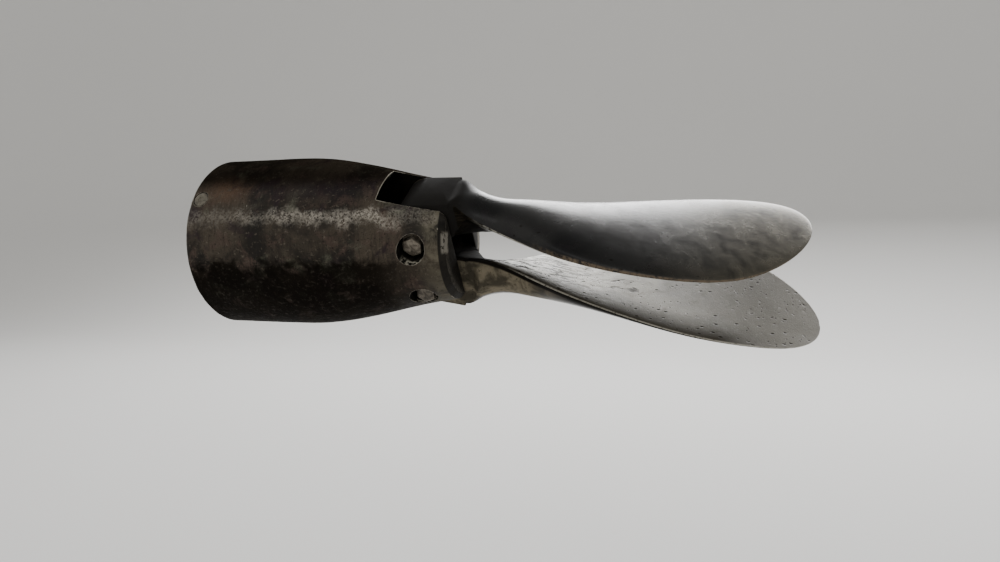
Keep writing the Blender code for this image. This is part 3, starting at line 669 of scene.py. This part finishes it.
def black_rubber():
    rubber = Finish("damper_rubber", (0.012, 0.012, 0.012), Specular_IOR_Level=0.35)
    grain = rubber.clouds(0.0008, 3.0, 0.6)
    dust = rubber.ramp(rubber.clouds(0.01, 5.0), 0.5, 0.72)
    rubber.coat(dust, (0.055, 0.052, 0.046))
    return rubber.done(rubber.ramp(grain, 0.3, 0.7, 0.6, 0.8), rubber.relief(grain, 0.0002, 0.5))


section = rounded_ring(DAMPER_FORE_SETBACK, damper_aft, damper_inner, damper_outer, DAMPER_EDGE)
damper = add_piece("damper_collar", spun(section, 128), HUB_TURN, black_rubber(), closed=True)
settle(damper)
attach(damper, "hub_assembly")
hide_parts("damper_ring")

# Splined sleeve: machined bronze, broached inside for the shaft's splines and bonded to the damper.
SLEEVE_MAJOR_RADIUS = 0.015
SLEEVE_MINOR_RADIUS = 0.0131
SPLINE_COUNT = 17
SLEEVE_FORE_SETBACK = 0.0008
SPLINE_POINTS = 16
SLEEVE_EDGE = 0.0005
SLEEVE_MOUTH_SWELL = 1.03
sleeve_outer = damper_inner - TOUCH_GAP


def splined_bore(swell):
    """The bore's radius at each angle; over one tooth it runs narrow land, flank, wide land, flank."""
    depth = SLEEVE_MAJOR_RADIUS - SLEEVE_MINOR_RADIUS

    def radius(angle):
        share = angle * SPLINE_COUNT / (2 * math.pi) % 1
        rise = soft_step(share, 0.36, 0.5) - soft_step(share, 0.86, 1.0)
        return swell * (SLEEVE_MINOR_RADIUS + depth * rise)

    return radius


def broached_bronze(name, dark, light):
    """Machined bronze gone dull, darker in patches, with tool lines along its length."""
    metal = Finish(name, dark, Metallic=0.9)
    stain = metal.clouds(0.007, 5.0, 0.6, 0.4)
    lines = metal.clouds(0.001, 3.0, 0.6, 0.0, metal.stretched(0.05, 1.0, 1.0))
    metal.coat(metal.ramp(stain, 0.36, 0.66), light)
    rub = metal.ramp(metal.clouds(0.0025, 4.0, 0.7), 0.58, 0.75, 0.0, 0.5)
    metal.coat(rub, (0.42, 0.33, 0.2))
    return metal.done(metal.ramp(stain, 0.3, 0.7, 0.5, 0.3), metal.relief(lines, 0.00012, 0.6))


fore, aft = SLEEVE_FORE_SETBACK, damper_aft
bored, flared, eased = splined_bore(1.0), splined_bore(SLEEVE_MOUTH_SWELL), sleeve_outer * 0.98
section = [(fore + SLEEVE_EDGE, sleeve_outer), (fore, eased), (fore, flared), (fore + SLEEVE_EDGE, bored)]
section += [(aft - SLEEVE_EDGE, bored), (aft, flared), (aft, eased), (aft - SLEEVE_EDGE, sleeve_outer)]
sleeve_finish = broached_bronze("sleeve_bronze", (0.16, 0.105, 0.045), (0.34, 0.25, 0.13))
sleeve = add_piece("broached_sleeve", spun(section, SPLINE_COUNT * SPLINE_POINTS), HUB_TURN,
                   sleeve_finish, closed=True)
settle(sleeve)
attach(sleeve, "hub_assembly")
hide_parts("spline_sleeve")

# Washer and shaft nut: the nut draws the hub's web against the shaft, over a plain steel washer.
# Both sit in the pocket between the web and the blade slot.
WASHER_RADIUS = 0.0172
WASHER_THICKNESS = 0.002
WASHER_EDGE = 0.0003
NUT_ACROSS_FLATS = 0.03
NUT_THICKNESS = 0.011
NUT_HOLE_RADIUS = 0.01
NUT_CHAMFER = 0.0012
NUT_CORNER_SHARE = 0.955
NUT_LEAD_IN = 0.0008
NUT_MOUTH_SWELL = 1.08
washer_fore = WEB_AFT + TOUCH_GAP
washer_aft = washer_fore + WASHER_THICKNESS
nut_fore = washer_aft + TOUCH_GAP
nut_aft = nut_fore + NUT_THICKNESS


def stained_steel(name, dark, light):
    """Plain steel with brown stains and fine scratches."""
    steel = Finish(name, light, Metallic=0.9)
    stain = steel.clouds(0.005, 5.0, 0.65, 0.3)
    grain = steel.clouds(0.0007, 3.0, 0.7)
    steel.coat(steel.ramp(stain, 0.4, 0.62), dark)
    return steel.done(steel.ramp(stain, 0.3, 0.7, 0.32, 0.55), steel.relief(grain, 0.00012, 0.6))


section = rounded_ring(washer_fore, washer_aft, SHAFT_HOLE_RADIUS, WASHER_RADIUS, WASHER_EDGE)
washer_finish = stained_steel("washer_steel", (0.16, 0.11, 0.07), (0.42, 0.41, 0.39))
washer = add_piece("nut_washer", spun(section, 96), HUB_TURN, washer_finish, closed=True)
settle(washer)
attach(washer, "hub_assembly")
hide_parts("lock_washer")


def hexagon(across_flats, turn=0.0, corner=1.0, swell=1.0):
    """A hexagon's radius at each angle, with its corners turned down to a share of their reach."""
    half, pitch = across_flats / 2, math.pi / 3
    limit = half / math.cos(pitch / 2) * corner
    return lambda angle: swell * min(half / math.cos((angle + turn) % pitch - pitch / 2), limit)


# The chamfers are turned, so they cut the corners and spare the flats.
flats = hexagon(NUT_ACROSS_FLATS, math.pi / 6)
chamfered = hexagon(NUT_ACROSS_FLATS, math.pi / 6, NUT_CORNER_SHARE)
section = [(nut_fore + NUT_CHAMFER, flats), (nut_aft - NUT_CHAMFER, flats), (nut_aft, chamfered)]
hole_mouth = NUT_HOLE_RADIUS * NUT_MOUTH_SWELL
section += [(nut_aft, hole_mouth), (nut_aft - NUT_LEAD_IN, NUT_HOLE_RADIUS)]
section += [(nut_fore + NUT_LEAD_IN, NUT_HOLE_RADIUS), (nut_fore, hole_mouth), (nut_fore, chamfered)]
nut_finish = broached_bronze("nut_bronze", (0.12, 0.085, 0.045), (0.27, 0.2, 0.11))
nut = add_piece("hub_nut", spun(section, 144), HUB_TURN, nut_finish, closed=True, smooth_angle=25.0)
settle(nut)
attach(nut, "hub_assembly")
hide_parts("shaft_nut")

# Set screws: steel grub screws near the fore face that lock the hub, filed flush and smeared with
# pale putty, so that only a disc shows.
SET_SCREW_SOCKET = 0.003
SET_SCREW_SOCKET_DEPTH = 0.0003


def puttied_steel():
    steel = Finish("screw_steel", (0.085, 0.075, 0.057), Metallic=0.2, Specular_IOR_Level=0.25)
    smear = steel.clouds(0.0024, 5.0, 0.65, 0.4)
    steel.coat(steel.ramp(smear, 0.36, 0.62), (0.165, 0.148, 0.116))
    steel.coat(steel.ramp(steel.clouds(0.0009, 3.0), 0.62, 0.72), (0.05, 0.045, 0.038))
    return steel.done(steel.ramp(smear, 0.3, 0.7, 0.42, 0.62), steel.relief(smear, 0.0002, 0.5))


screw_finish = puttied_steel()
foot = screw_top - SET_SCREW_LENGTH
section = [(foot, SET_SCREW_RADIUS * 0.82), (foot + 0.0007, SET_SCREW_RADIUS)]
section += [(screw_top - 0.0004, SET_SCREW_RADIUS), (screw_top - 0.0001, SET_SCREW_RADIUS * 0.97)]
section += [(screw_top, SET_SCREW_RADIUS * 0.9), (screw_top, SET_SCREW_RADIUS * 0.62)]
section += [(screw_top, hexagon(SET_SCREW_SOCKET))]
section += [(screw_top - SET_SCREW_SOCKET_DEPTH, hexagon(SET_SCREW_SOCKET, swell=0.9))]
for side, matrix in screw_places.items():
    screw = add_piece(f"{side}_grub_screw", spun(section, 60, upright=True), matrix, screw_finish)
    settle(screw)
    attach(screw, "hub_assembly")
    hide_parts(f"{side}_set_screw")

# Pivot pins: one for each blade, right through both ears. Each ends in a short worn hexagon down
# in its recess.
PIN_HEAD_ACROSS_FLATS = 0.0091
PIN_HEAD_RECESS = 0.0022
PIN_HEAD_TURN = math.radians(-20)
PIN_CORNER_EASED = 0.964
PIN_CORNER_WORN = 0.94
PIN_DENT_DEPTH = 0.00018
PIN_DENT_SIZE = 0.0018
head_end = ear_face - PIN_HEAD_RECESS
shank_end = recess_floor + TOUCH_GAP


def worn_pin_steel(name, dull, worn):
    """Steel worn pale and tan on the ends, with brown dirt in the dents."""
    steel = Finish(name, dull, Metallic=0.75)
    stain = steel.clouds(0.0035, 5.0, 0.6, 0.5)
    fine = steel.clouds(0.0009, 4.0, 0.7)
    steel.coat(steel.ramp(stain, 0.36, 0.62), worn)
    steel.coat(steel.ramp(fine, 0.58, 0.72, 0.0, 0.8), (0.022, 0.017, 0.013))
    return steel.done(steel.ramp(fine, 0.3, 0.7, 0.26, 0.48), steel.relief(fine, 0.00025, 0.7))


# The lower pin's steel is a darker copy of the upper pin's: painted shade.
pin_finishes = {"upper": worn_pin_steel("upper_pin_steel", (0.07, 0.058, 0.045), (0.2, 0.175, 0.14)),
                "lower": worn_pin_steel("lower_pin_steel_shaded", (0.04, 0.034, 0.027), (0.12, 0.104, 0.083))}


def pin_head(corner, swell=1.0):
    return hexagon(PIN_HEAD_ACROSS_FLATS, PIN_HEAD_TURN, corner, swell)


section = [(shank_end - 0.0004, PIN_RADIUS), (shank_end, PIN_RADIUS * 0.96), (shank_end, pin_head(1.0))]
section += [(head_end - 0.001, pin_head(1.0)), (head_end - 0.0004, pin_head(PIN_CORNER_EASED))]
section += [(head_end - 0.0001, pin_head(PIN_CORNER_WORN, 0.9))]
section += [(head_end, pin_head(PIN_CORNER_WORN, swell)) for swell in (0.8, 0.55, 0.3, 0.1)]
for side, offset in pin_places.items():
    half = spun(section, 72, upright=True)
    # The end face is dented, from its worn edge to its middle.
    for ring in half[5:]:
        for i, (x, y, z) in enumerate(ring):
            dent = PIN_DENT_DEPTH * max(noise.noise(Vector((x, y, offset)) / PIN_DENT_SIZE), 0)
            ring[i] = (x, y, z - dent)
    rings = [[(x, y, -z) for x, y, z in ring] for ring in reversed(half)] + half
    matrix = HUB_TURN @ Matrix.Translation((PIN_STATION, offset, 0.0))
    pin = add_piece(f"{side}_blade_pin", rings, matrix, pin_finishes[side])
    settle(pin)
    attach(pin, "hub_assembly")
    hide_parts(f"{side}_pivot_pin")

# Blades: each one bronze casting, a squared knuckle on the pin that runs out into a twisted blade with
# a rounded back and a nearly flat face. The backs are dark, the faces paler and speckled, and the
# edges show bare metal. A plain bronze bush is pressed into each knuckle's eye.
KNUCKLE_RADIUS = 0.0117
HEEL_RADIUS = 0.0156
HEEL_ANGLE = math.radians(130.0)
ROOT_FLAT_LENGTH = 0.0175
ROOT_DEEP_SIDE = 0.0165
ROOT_SHALLOW_SIDE = 0.0025
ROOT_LOFT_START = 0.006
ROOT_PASSING_GAP = 0.0054
ROOT_EDGE_ROUNDING = 0.0011
BUSH_WALL = 0.0021
BLADE_LENGTH = 0.1854
TIP_ROUNDNESS = 5.0
ROOT_SQUARENESS = 9.0
ROOT_BLEND_START = 0.016
ROOT_BLEND_END = 0.0265
EAR_CLEAR_STATION = 0.0215
NECK_STATION = 0.0334
# Station, middle of the chord (out, along the pin), reach to the plus edge, swells of back and face.
BLADE_SECTIONS = (
    (0.0191, (-0.001, 0.0008), (0.0159, 0.013), (0.019, 0.0025)),
    (NECK_STATION, (-0.0052, 0.0009), (0.0112, 0.0145), (0.0155, 0.0024)),
    (0.0501, (-0.0055, 0.0031), (0.0084, 0.0203), (0.0147, 0.0032)),
    (0.0705, (-0.0055, 0.0055), (0.009, 0.0312), (0.0124, 0.002)),
    (0.0964, (-0.0077, 0.0043), (0.0074, 0.0385), (0.0084, 0.001)),
    (0.1261, (-0.0134, -0.0023), (0.0062, 0.0447), (0.0065, 0.0)),
    (0.1558, (-0.0179, -0.0097), (0.0031, 0.0461), (0.0051, 0.0)),
    (BLADE_LENGTH, (-0.0217, -0.0232), (0.0027, 0.047), (0.003, 0.0)),
)
UPPER_BLADE_OPEN = math.radians(-0.8)
LOWER_BLADE_OPEN = math.radians(11.8)
BLADE_RING_POINTS = 128
ROOT_RINGS = 14
NECK_RINGS = 36
BLADE_RINGS = 190
FACE_PIT_SIZE = 0.003
FACE_PIT_DEPTH = 0.00014
BLADE_EDGE_DEPTH = 0.00006
BLADE_EDGE_REACH = 0.0012
CHORD_INSET = (0.00002, 0.0002)
TIP_RING_TURN = math.radians(88.5)
BUSH_EDGE = 0.0003
MARK_UNIT = 0.002
# The painted shade on a root runs out to the first length on its inner side, and to the second on its
# edges.
SHADE_END = 0.03
SHADE_EDGE_END = 0.0205

section_stations = [section[0] for section in BLADE_SECTIONS]
middle_out, middle_along, reach_out, reach_along, back_swell, face_swell = (
    natural_curve(section_stations, [section[part][side] for section in BLADE_SECTIONS])
    for part in (1, 2, 3) for side in (0, 1)
)
knuckle_half = half_slot - TURNING_GAP
bush_inner = PIN_RADIUS + TURNING_GAP
bush_outer = bush_inner + BUSH_WALL
bush_bore = bush_outer + TOUCH_GAP


def blade_frame(s):
    """The section's reach to its plus edge, the way its back faces, and its two swells at s."""
    closing = math.sqrt(max(1 - (s / BLADE_LENGTH) ** TIP_ROUNDNESS, 0.0))
    out, along = reach_out(s) * closing - CHORD_INSET[0], reach_along(s) * closing - CHORD_INSET[1]
    chord = max(math.hypot(out, along), 1e-9)
    back, face = max(back_swell(s), 0.0) * closing, max(face_swell(s), 0.0) * closing
    return (out, along), (along / chord, -out / chord), back, face


def deep_side(s):
    """The root's deep side, hollowed about the other pin so that the other eye turns clear of it."""
    hollow = (KNUCKLE_RADIUS + ROOT_PASSING_GAP) ** 2 - s ** 2
    return min(ROOT_DEEP_SIDE, 2 * PIN_OFFSET - math.sqrt(max(hollow, 0.0)))


def blade_ring(s):
    """The casting's outline at s: squared at the root, and blended into the blade's own section."""
    (out, along), normal, back, face = blade_frame(s)
    deep = deep_side(s)
    share = soft_step(s, ROOT_BLEND_START, ROOT_BLEND_END)
    width_limit = knuckle_half + max(s - EAR_CLEAR_STATION, 0.0)
    ring = []
    for step in range(BLADE_RING_POINTS):
        turn = 2 * math.pi * step / BLADE_RING_POINTS
        c, t = math.cos(turn), math.sin(turn)
        swell = t * (back if t > 0 else face)
        at = Vector((s, out * c, along * c))
        if abs(t) > 0.25 and s > ROOT_BLEND_END:
            pit = 1 - soft_step(noise.voronoi(at / FACE_PIT_SIZE)[0][0], 0.08, 0.26)
            sparse = soft_step(noise.noise(at / 0.018 + Vector((0.0, 7.7 * (t > 0), 0.0))), 0.0, 0.3)
            depth = FACE_PIT_DEPTH * pit * sparse * (0.0 if t > 0 else 1.0)
            depth += (0.00001 if t > 0 else 0.00004) * (1 + noise.noise(at / 0.009))
            swell -= math.copysign(depth * min((abs(t) - 0.25) * 4, 1.0), t)
        blade_a = middle_out(s) + out * c + normal[0] * swell
        blade_b = middle_along(s) + along * c + normal[1] * swell
        blade_b = min(max(blade_b, -width_limit), width_limit)
        c, t = math.cos(math.pi / 4 - turn), math.sin(math.pi / 4 - turn)
        outward = (1 + math.copysign(abs(c) ** (2 / ROOT_SQUARENESS), c)) / 2
        sideways = math.copysign(abs(t) ** (2 / ROOT_SQUARENESS), t)
        inner_face = -deep + (deep - ROOT_SHALLOW_SIDE) * (1 + sideways) / 2
        root_a = inner_face + (HEEL_RADIUS - inner_face) * outward
        root_b = knuckle_half * sideways
        ring.append((s, root_a + (blade_a - root_a) * share, root_b + (blade_b - root_b) * share))
    return ring


def knuckle_outline():
    """The squared root and its eye, seen along the pin."""
    points = [(ROOT_FLAT_LENGTH, -ROOT_SHALLOW_SIDE), (ROOT_FLAT_LENGTH, HEEL_RADIUS)]
    points += [(0.0, HEEL_RADIUS)]
    points += arc((0.0, 0.0), HEEL_RADIUS, math.pi / 2, HEEL_ANGLE, 24)[1:]
    # The eye runs round to where it meets the straight inner side.
    corner_angle = math.atan2(ROOT_SHALLOW_SIDE, ROOT_FLAT_LENGTH)
    corner_angle += math.acos(KNUCKLE_RADIUS / math.hypot(ROOT_SHALLOW_SIDE, ROOT_FLAT_LENGTH))
    points += arc((0.0, 0.0), KNUCKLE_RADIUS, HEEL_ANGLE + 0.45, 2 * math.pi - corner_angle, 48)
    return points


def blade_stations():
    """Where the rings stand, closer together toward the rounded tip."""
    root = np.linspace(ROOT_LOFT_START, ROOT_BLEND_START, ROOT_RINGS, endpoint=False)
    neck = np.linspace(ROOT_BLEND_START, NECK_STATION, NECK_RINGS, endpoint=False)
    turns = np.linspace(math.asin(NECK_STATION / BLADE_LENGTH), TIP_RING_TURN, BLADE_RINGS)
    return [*root.tolist(), *neck.tolist(), *(BLADE_LENGTH * np.sin(turns)).tolist()]


def blade_marks(mesh):
    """Stores at each point where it lies on the section: across, and toward back or face."""
    across, side = [], []
    for vertex in mesh.vertices:
        s, a, b = vertex.co
        s = min(max(s, 0.0), BLADE_LENGTH)
        (out, along), normal, back, face = blade_frame(s)
        chord = max(math.hypot(out, along), MARK_UNIT)
        da, db = a - middle_out(s), b - middle_along(s)
        across.append((da * out + db * along) / chord ** 2)
        side.append((da * normal[0] + db * normal[1]) / MARK_UNIT)
    for name, values in {"across": across, "side": side}.items():
        attribute = mesh.attributes.new(name, "FLOAT", "POINT")
        attribute.data.foreach_set("value", np.array(values, np.float32))


def blade_back():
    """The rounded back: dark gunmetal with blue and purple in it, olive on the tip and root side, with
    painted shade in the root's gap and along the underside of the minus edge.
    """
    back = Finish("blade_back", (0.013, 0.013, 0.0135))
    station, along = back.along((1.0, 0.0, 0.0)), back.along((0.0, 0.0, 1.0))
    across = back.stored("across")
    broad = back.clouds(0.03, 4.0, 0.55, 0.4)
    mid = back.clouds(0.01, 5.0, 0.6, 0.5)
    fine = back.clouds(0.0018, 4.0, 0.7)
    back.coat(back.ramp(broad, 0.36, 0.64), (0.026, 0.0255, 0.025))
    back.coat(back.ramp(mid, 0.55, 0.72, 0.0, 0.6), (0.022, 0.019, 0.021))
    olive = back.times(back.ramp(station, 0.1, 0.17), back.ramp(mid, 0.3, 0.66, 0.35, 1.0))
    back.coat(olive, (0.1, 0.09, 0.068), 0.85)
    back.coat(back.ramp(fine, 0.6, 0.78, 0.0, 0.3), (0.1, 0.095, 0.082))
    grimy = back.until(station, 0.019, 0.032)
    back.coat(grimy, (0.011, 0.01, 0.009), 0.9)
    side_face = back.times(back.until(along, -0.0136, -0.012), back.until(station, 0.045, 0.075))
    brown = back.over(back.ramp(mid, 0.38, 0.62), (0.048, 0.042, 0.03), (0.165, 0.142, 0.1))
    brown = back.over(back.ramp(fine, 0.56, 0.7, 0.0, 0.7), brown, (0.014, 0.011, 0.008))
    back.coat(side_face, brown)
    # Painted shade: near black on the root inside the gap, out to the neck.
    gap_shade = back.times(back.until(station, 0.025, 0.031),
                          back.until(back.along((0.0, 1.0, 0.0)), -0.0015, 0.0015),
                          back.until(back.calc("ABSOLUTE", along), 0.0121, 0.0129))
    back.coat(gap_shade, (0.004, 0.0035, 0.003))
    specks = back.until(back.cells(0.0036, back.stretched(0.5, 1.0, 1.0)), 0.07, 0.16)
    specks = back.times(specks, back.ramp(broad, 0.46, 0.58))
    back.coat(specks, (0.008, 0.006, 0.005))
    # Painted shade: a dark band under the minus edge, fading out before the tip.
    under_edge_shade = back.times(back.until(across, -0.96, -0.86), back.until(station, 0.11, 0.15),
                            back.until(back.stored("side"), 0.7, 1.2))
    back.coat(under_edge_shade, (0.005, 0.004, 0.003))
    rim = back.times(back.ramp(across, 0.978, 0.997), back.ramp(station, 0.055, 0.085),
                     back.ramp(fine, 0.34, 0.56))
    back.coat(rim, (0.15, 0.115, 0.08))
    rough_place = back.most(grimy, gap_shade, side_face)
    rough = back.calc("ADD", back.ramp(mid, 0.3, 0.7, 0.2, 0.29), back.times(rough_place, 0.34))
    metal = back.ramp(rough_place, 0.0, 1.0, 0.7, 0.0)
    gloss = back.times(back.ramp(rough_place, 0.0, 1.0, 0.2, 0.03),
                       back.calc("SUBTRACT", 1.0, gap_shade))
    return back.done(rough, back.relief(fine, 0.00007, 0.6), metal, gloss)


def blade_face():
    """The flat face: paler grey metal, freckled with dark specks and short streaks near the root, with
    painted shade along its minus edge and close to the root.
    """
    face = Finish("blade_face", (0.26, 0.25, 0.225))
    station = face.along((1.0, 0.0, 0.0))
    broad = face.clouds(0.026, 4.0, 0.55, 0.3)
    mid = face.clouds(0.008, 5.0, 0.6, 0.4)
    fine = face.clouds(0.0015, 4.0, 0.7)
    grit = face.clouds(0.0006, 3.0, 0.7)
    face.coat(face.ramp(broad, 0.36, 0.64), (0.4, 0.38, 0.335))
    face.coat(face.ramp(mid, 0.5, 0.72, 0.0, 0.6), (0.21, 0.2, 0.165))
    tip = face.times(face.ramp(station, 0.105, 0.165), face.ramp(broad, 0.34, 0.58, 0.5, 0.85))
    face.coat(tip, (0.12, 0.111, 0.092))
    across = face.stored("across")
    # Painted shade: darker toward the minus edge, fading out before the tip.
    edge_shade = face.times(face.until(across, -0.96, -0.5), face.until(station, 0.14, 0.172))
    face.coat(edge_shade, (0.03, 0.026, 0.02), 0.9)
    near_root = face.until(station, 0.04, 0.105)
    # Painted shade: the face goes near black close to the root.
    face.coat(face.until(station, 0.026, 0.042), (0.008, 0.007, 0.005))
    specks = face.until(face.cells(0.003, face.stretched(0.6, 1.0, 1.0)), 0.12, 0.22)
    specks = face.times(specks, face.ramp(mid, 0.44, 0.54))
    dots = face.until(face.cells(0.0021), 0.12, 0.2)
    dots = face.times(dots, face.ramp(face.clouds(0.012, 3.0), 0.46, 0.58))
    streaks = face.clouds(0.0018, 3.0, 0.65, 0.3, face.stretched(0.22, 1.0, 1.0))
    streaks = face.times(face.ramp(streaks, 0.505, 0.575), near_root)
    blotch = face.times(face.ramp(face.clouds(0.015, 4.0, 0.6, 0.5), 0.66, 0.74), 0.7)
    marks = face.most(specks, dots, streaks, blotch)
    face.coat(marks, (0.018, 0.015, 0.011))
    rim = face.times(face.ramp(face.calc("ABSOLUTE", across), 0.965, 0.99),
                     face.ramp(station, 0.036, 0.056), face.ramp(fine, 0.3, 0.5))
    face.coat(rim, (0.36, 0.34, 0.29))
    grain = face.calc("SUBTRACT", face.times(face.calc("ADD", fine, grit), 0.4), marks)
    clean = face.calc("SUBTRACT", 1.0, face.most(marks, edge_shade))
    gloss = face.times(clean, face.ramp(station, 0.026, 0.042, 0.0, 0.4))
    rough = face.ramp(mid, 0.3, 0.7, 0.36, 0.5)
    return face.done(rough, face.relief(grain, 0.00022, 0.8), face.times(clean, 0.3), gloss)


def root_shade():
    """Painted shade: black on the sides of the roots that face each other."""
    grime = Finish("root_shade", (0.003, 0.0025, 0.002), Specular_IOR_Level=0.02)
    mid = grime.clouds(0.005, 5.0, 0.65)
    grime.coat(grime.ramp(mid, 0.45, 0.65), (0.011, 0.009, 0.007))
    return grime.done(0.7, grime.relief(mid, 0.0003, 0.8))


back_finish, face_finish, root_finish = blade_back(), blade_face(), root_shade()
bush_finish = broached_bronze("bush_bronze", (0.2, 0.14, 0.06), (0.38, 0.28, 0.15))
blade_places = {"upper": (0.0, UPPER_BLADE_OPEN), "lower": (math.pi, LOWER_BLADE_OPEN)}
blade_rings = [blade_ring(s) for s in blade_stations()]
knuckle_rings = [[(x, y, z) for x, y in knuckle_outline()] for z in (-knuckle_half, knuckle_half)]
bore_rings = spun([(-SLOT_WIDTH, bush_bore), (SLOT_WIDTH, bush_bore)], 72, upright=True)
bush_section = rounded_ring(-knuckle_half, knuckle_half, bush_inner, bush_outer, BUSH_EDGE, 2)
bush_rings = spun(bush_section, 72, upright=True)
at_pin = Matrix.Translation((PIN_STATION, PIN_OFFSET, 0.0))
for side, (half_turn, opening) in blade_places.items():
    matrix = HUB_TURN @ Matrix.Rotation(half_turn, 4, "X") @ at_pin @ Matrix.Rotation(opening, 4, "Z")
    blade = add_piece(f"{side}_blade_casting", blade_rings, matrix, back_finish, face_finish)
    for face in blade.data.polygons:
        step = (face.index % BLADE_RING_POINTS) + 0.5
        is_face = step > BLADE_RING_POINTS / 2 and face.center.x > ROOT_BLEND_END * 0.75
        face.material_index = 1 if is_face else 0
    knuckle = add_piece("knuckle_tool", knuckle_rings, matrix, back_finish)
    rounding = knuckle.modifiers.new("rounding", "BEVEL")
    rounding.width = ROOT_EDGE_ROUNDING
    rounding.segments = 4
    rounding.limit_method = "ANGLE"
    rounding.angle_limit = math.radians(40)
    carve(blade, [knuckle], "UNION")
    carve(blade, [add_piece("bore_tool", bore_rings, matrix, back_finish)])
    blade.data.materials.append(root_finish)
    # The sides of the roots that face each other take the painted shade.
    for face in blade.data.polygons:
        inner = abs(face.center.z) < 0.0118 or face.normal.y < -0.8
        if face.center.x < (SHADE_END if inner else SHADE_EDGE_END) and face.normal.y < -0.35:
            face.material_index = len(blade.data.materials) - 1
    wear_edges(blade, BLADE_EDGE_DEPTH, BLADE_EDGE_REACH, 30.0)
    blade_marks(blade.data)
    blade.data.shade_smooth()
    blade.data.set_sharp_from_angle(angle=math.radians(40))
    body = f"{side}_blade_assembly"
    settle(blade)
    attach(blade, body)
    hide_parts(f"{side}_blade")
    bush = add_piece(f"{side}_pin_bush", bush_rings, matrix, bush_finish, closed=True)
    settle(bush)
    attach(bush, body)
    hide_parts(f"{side}_blade_bush")
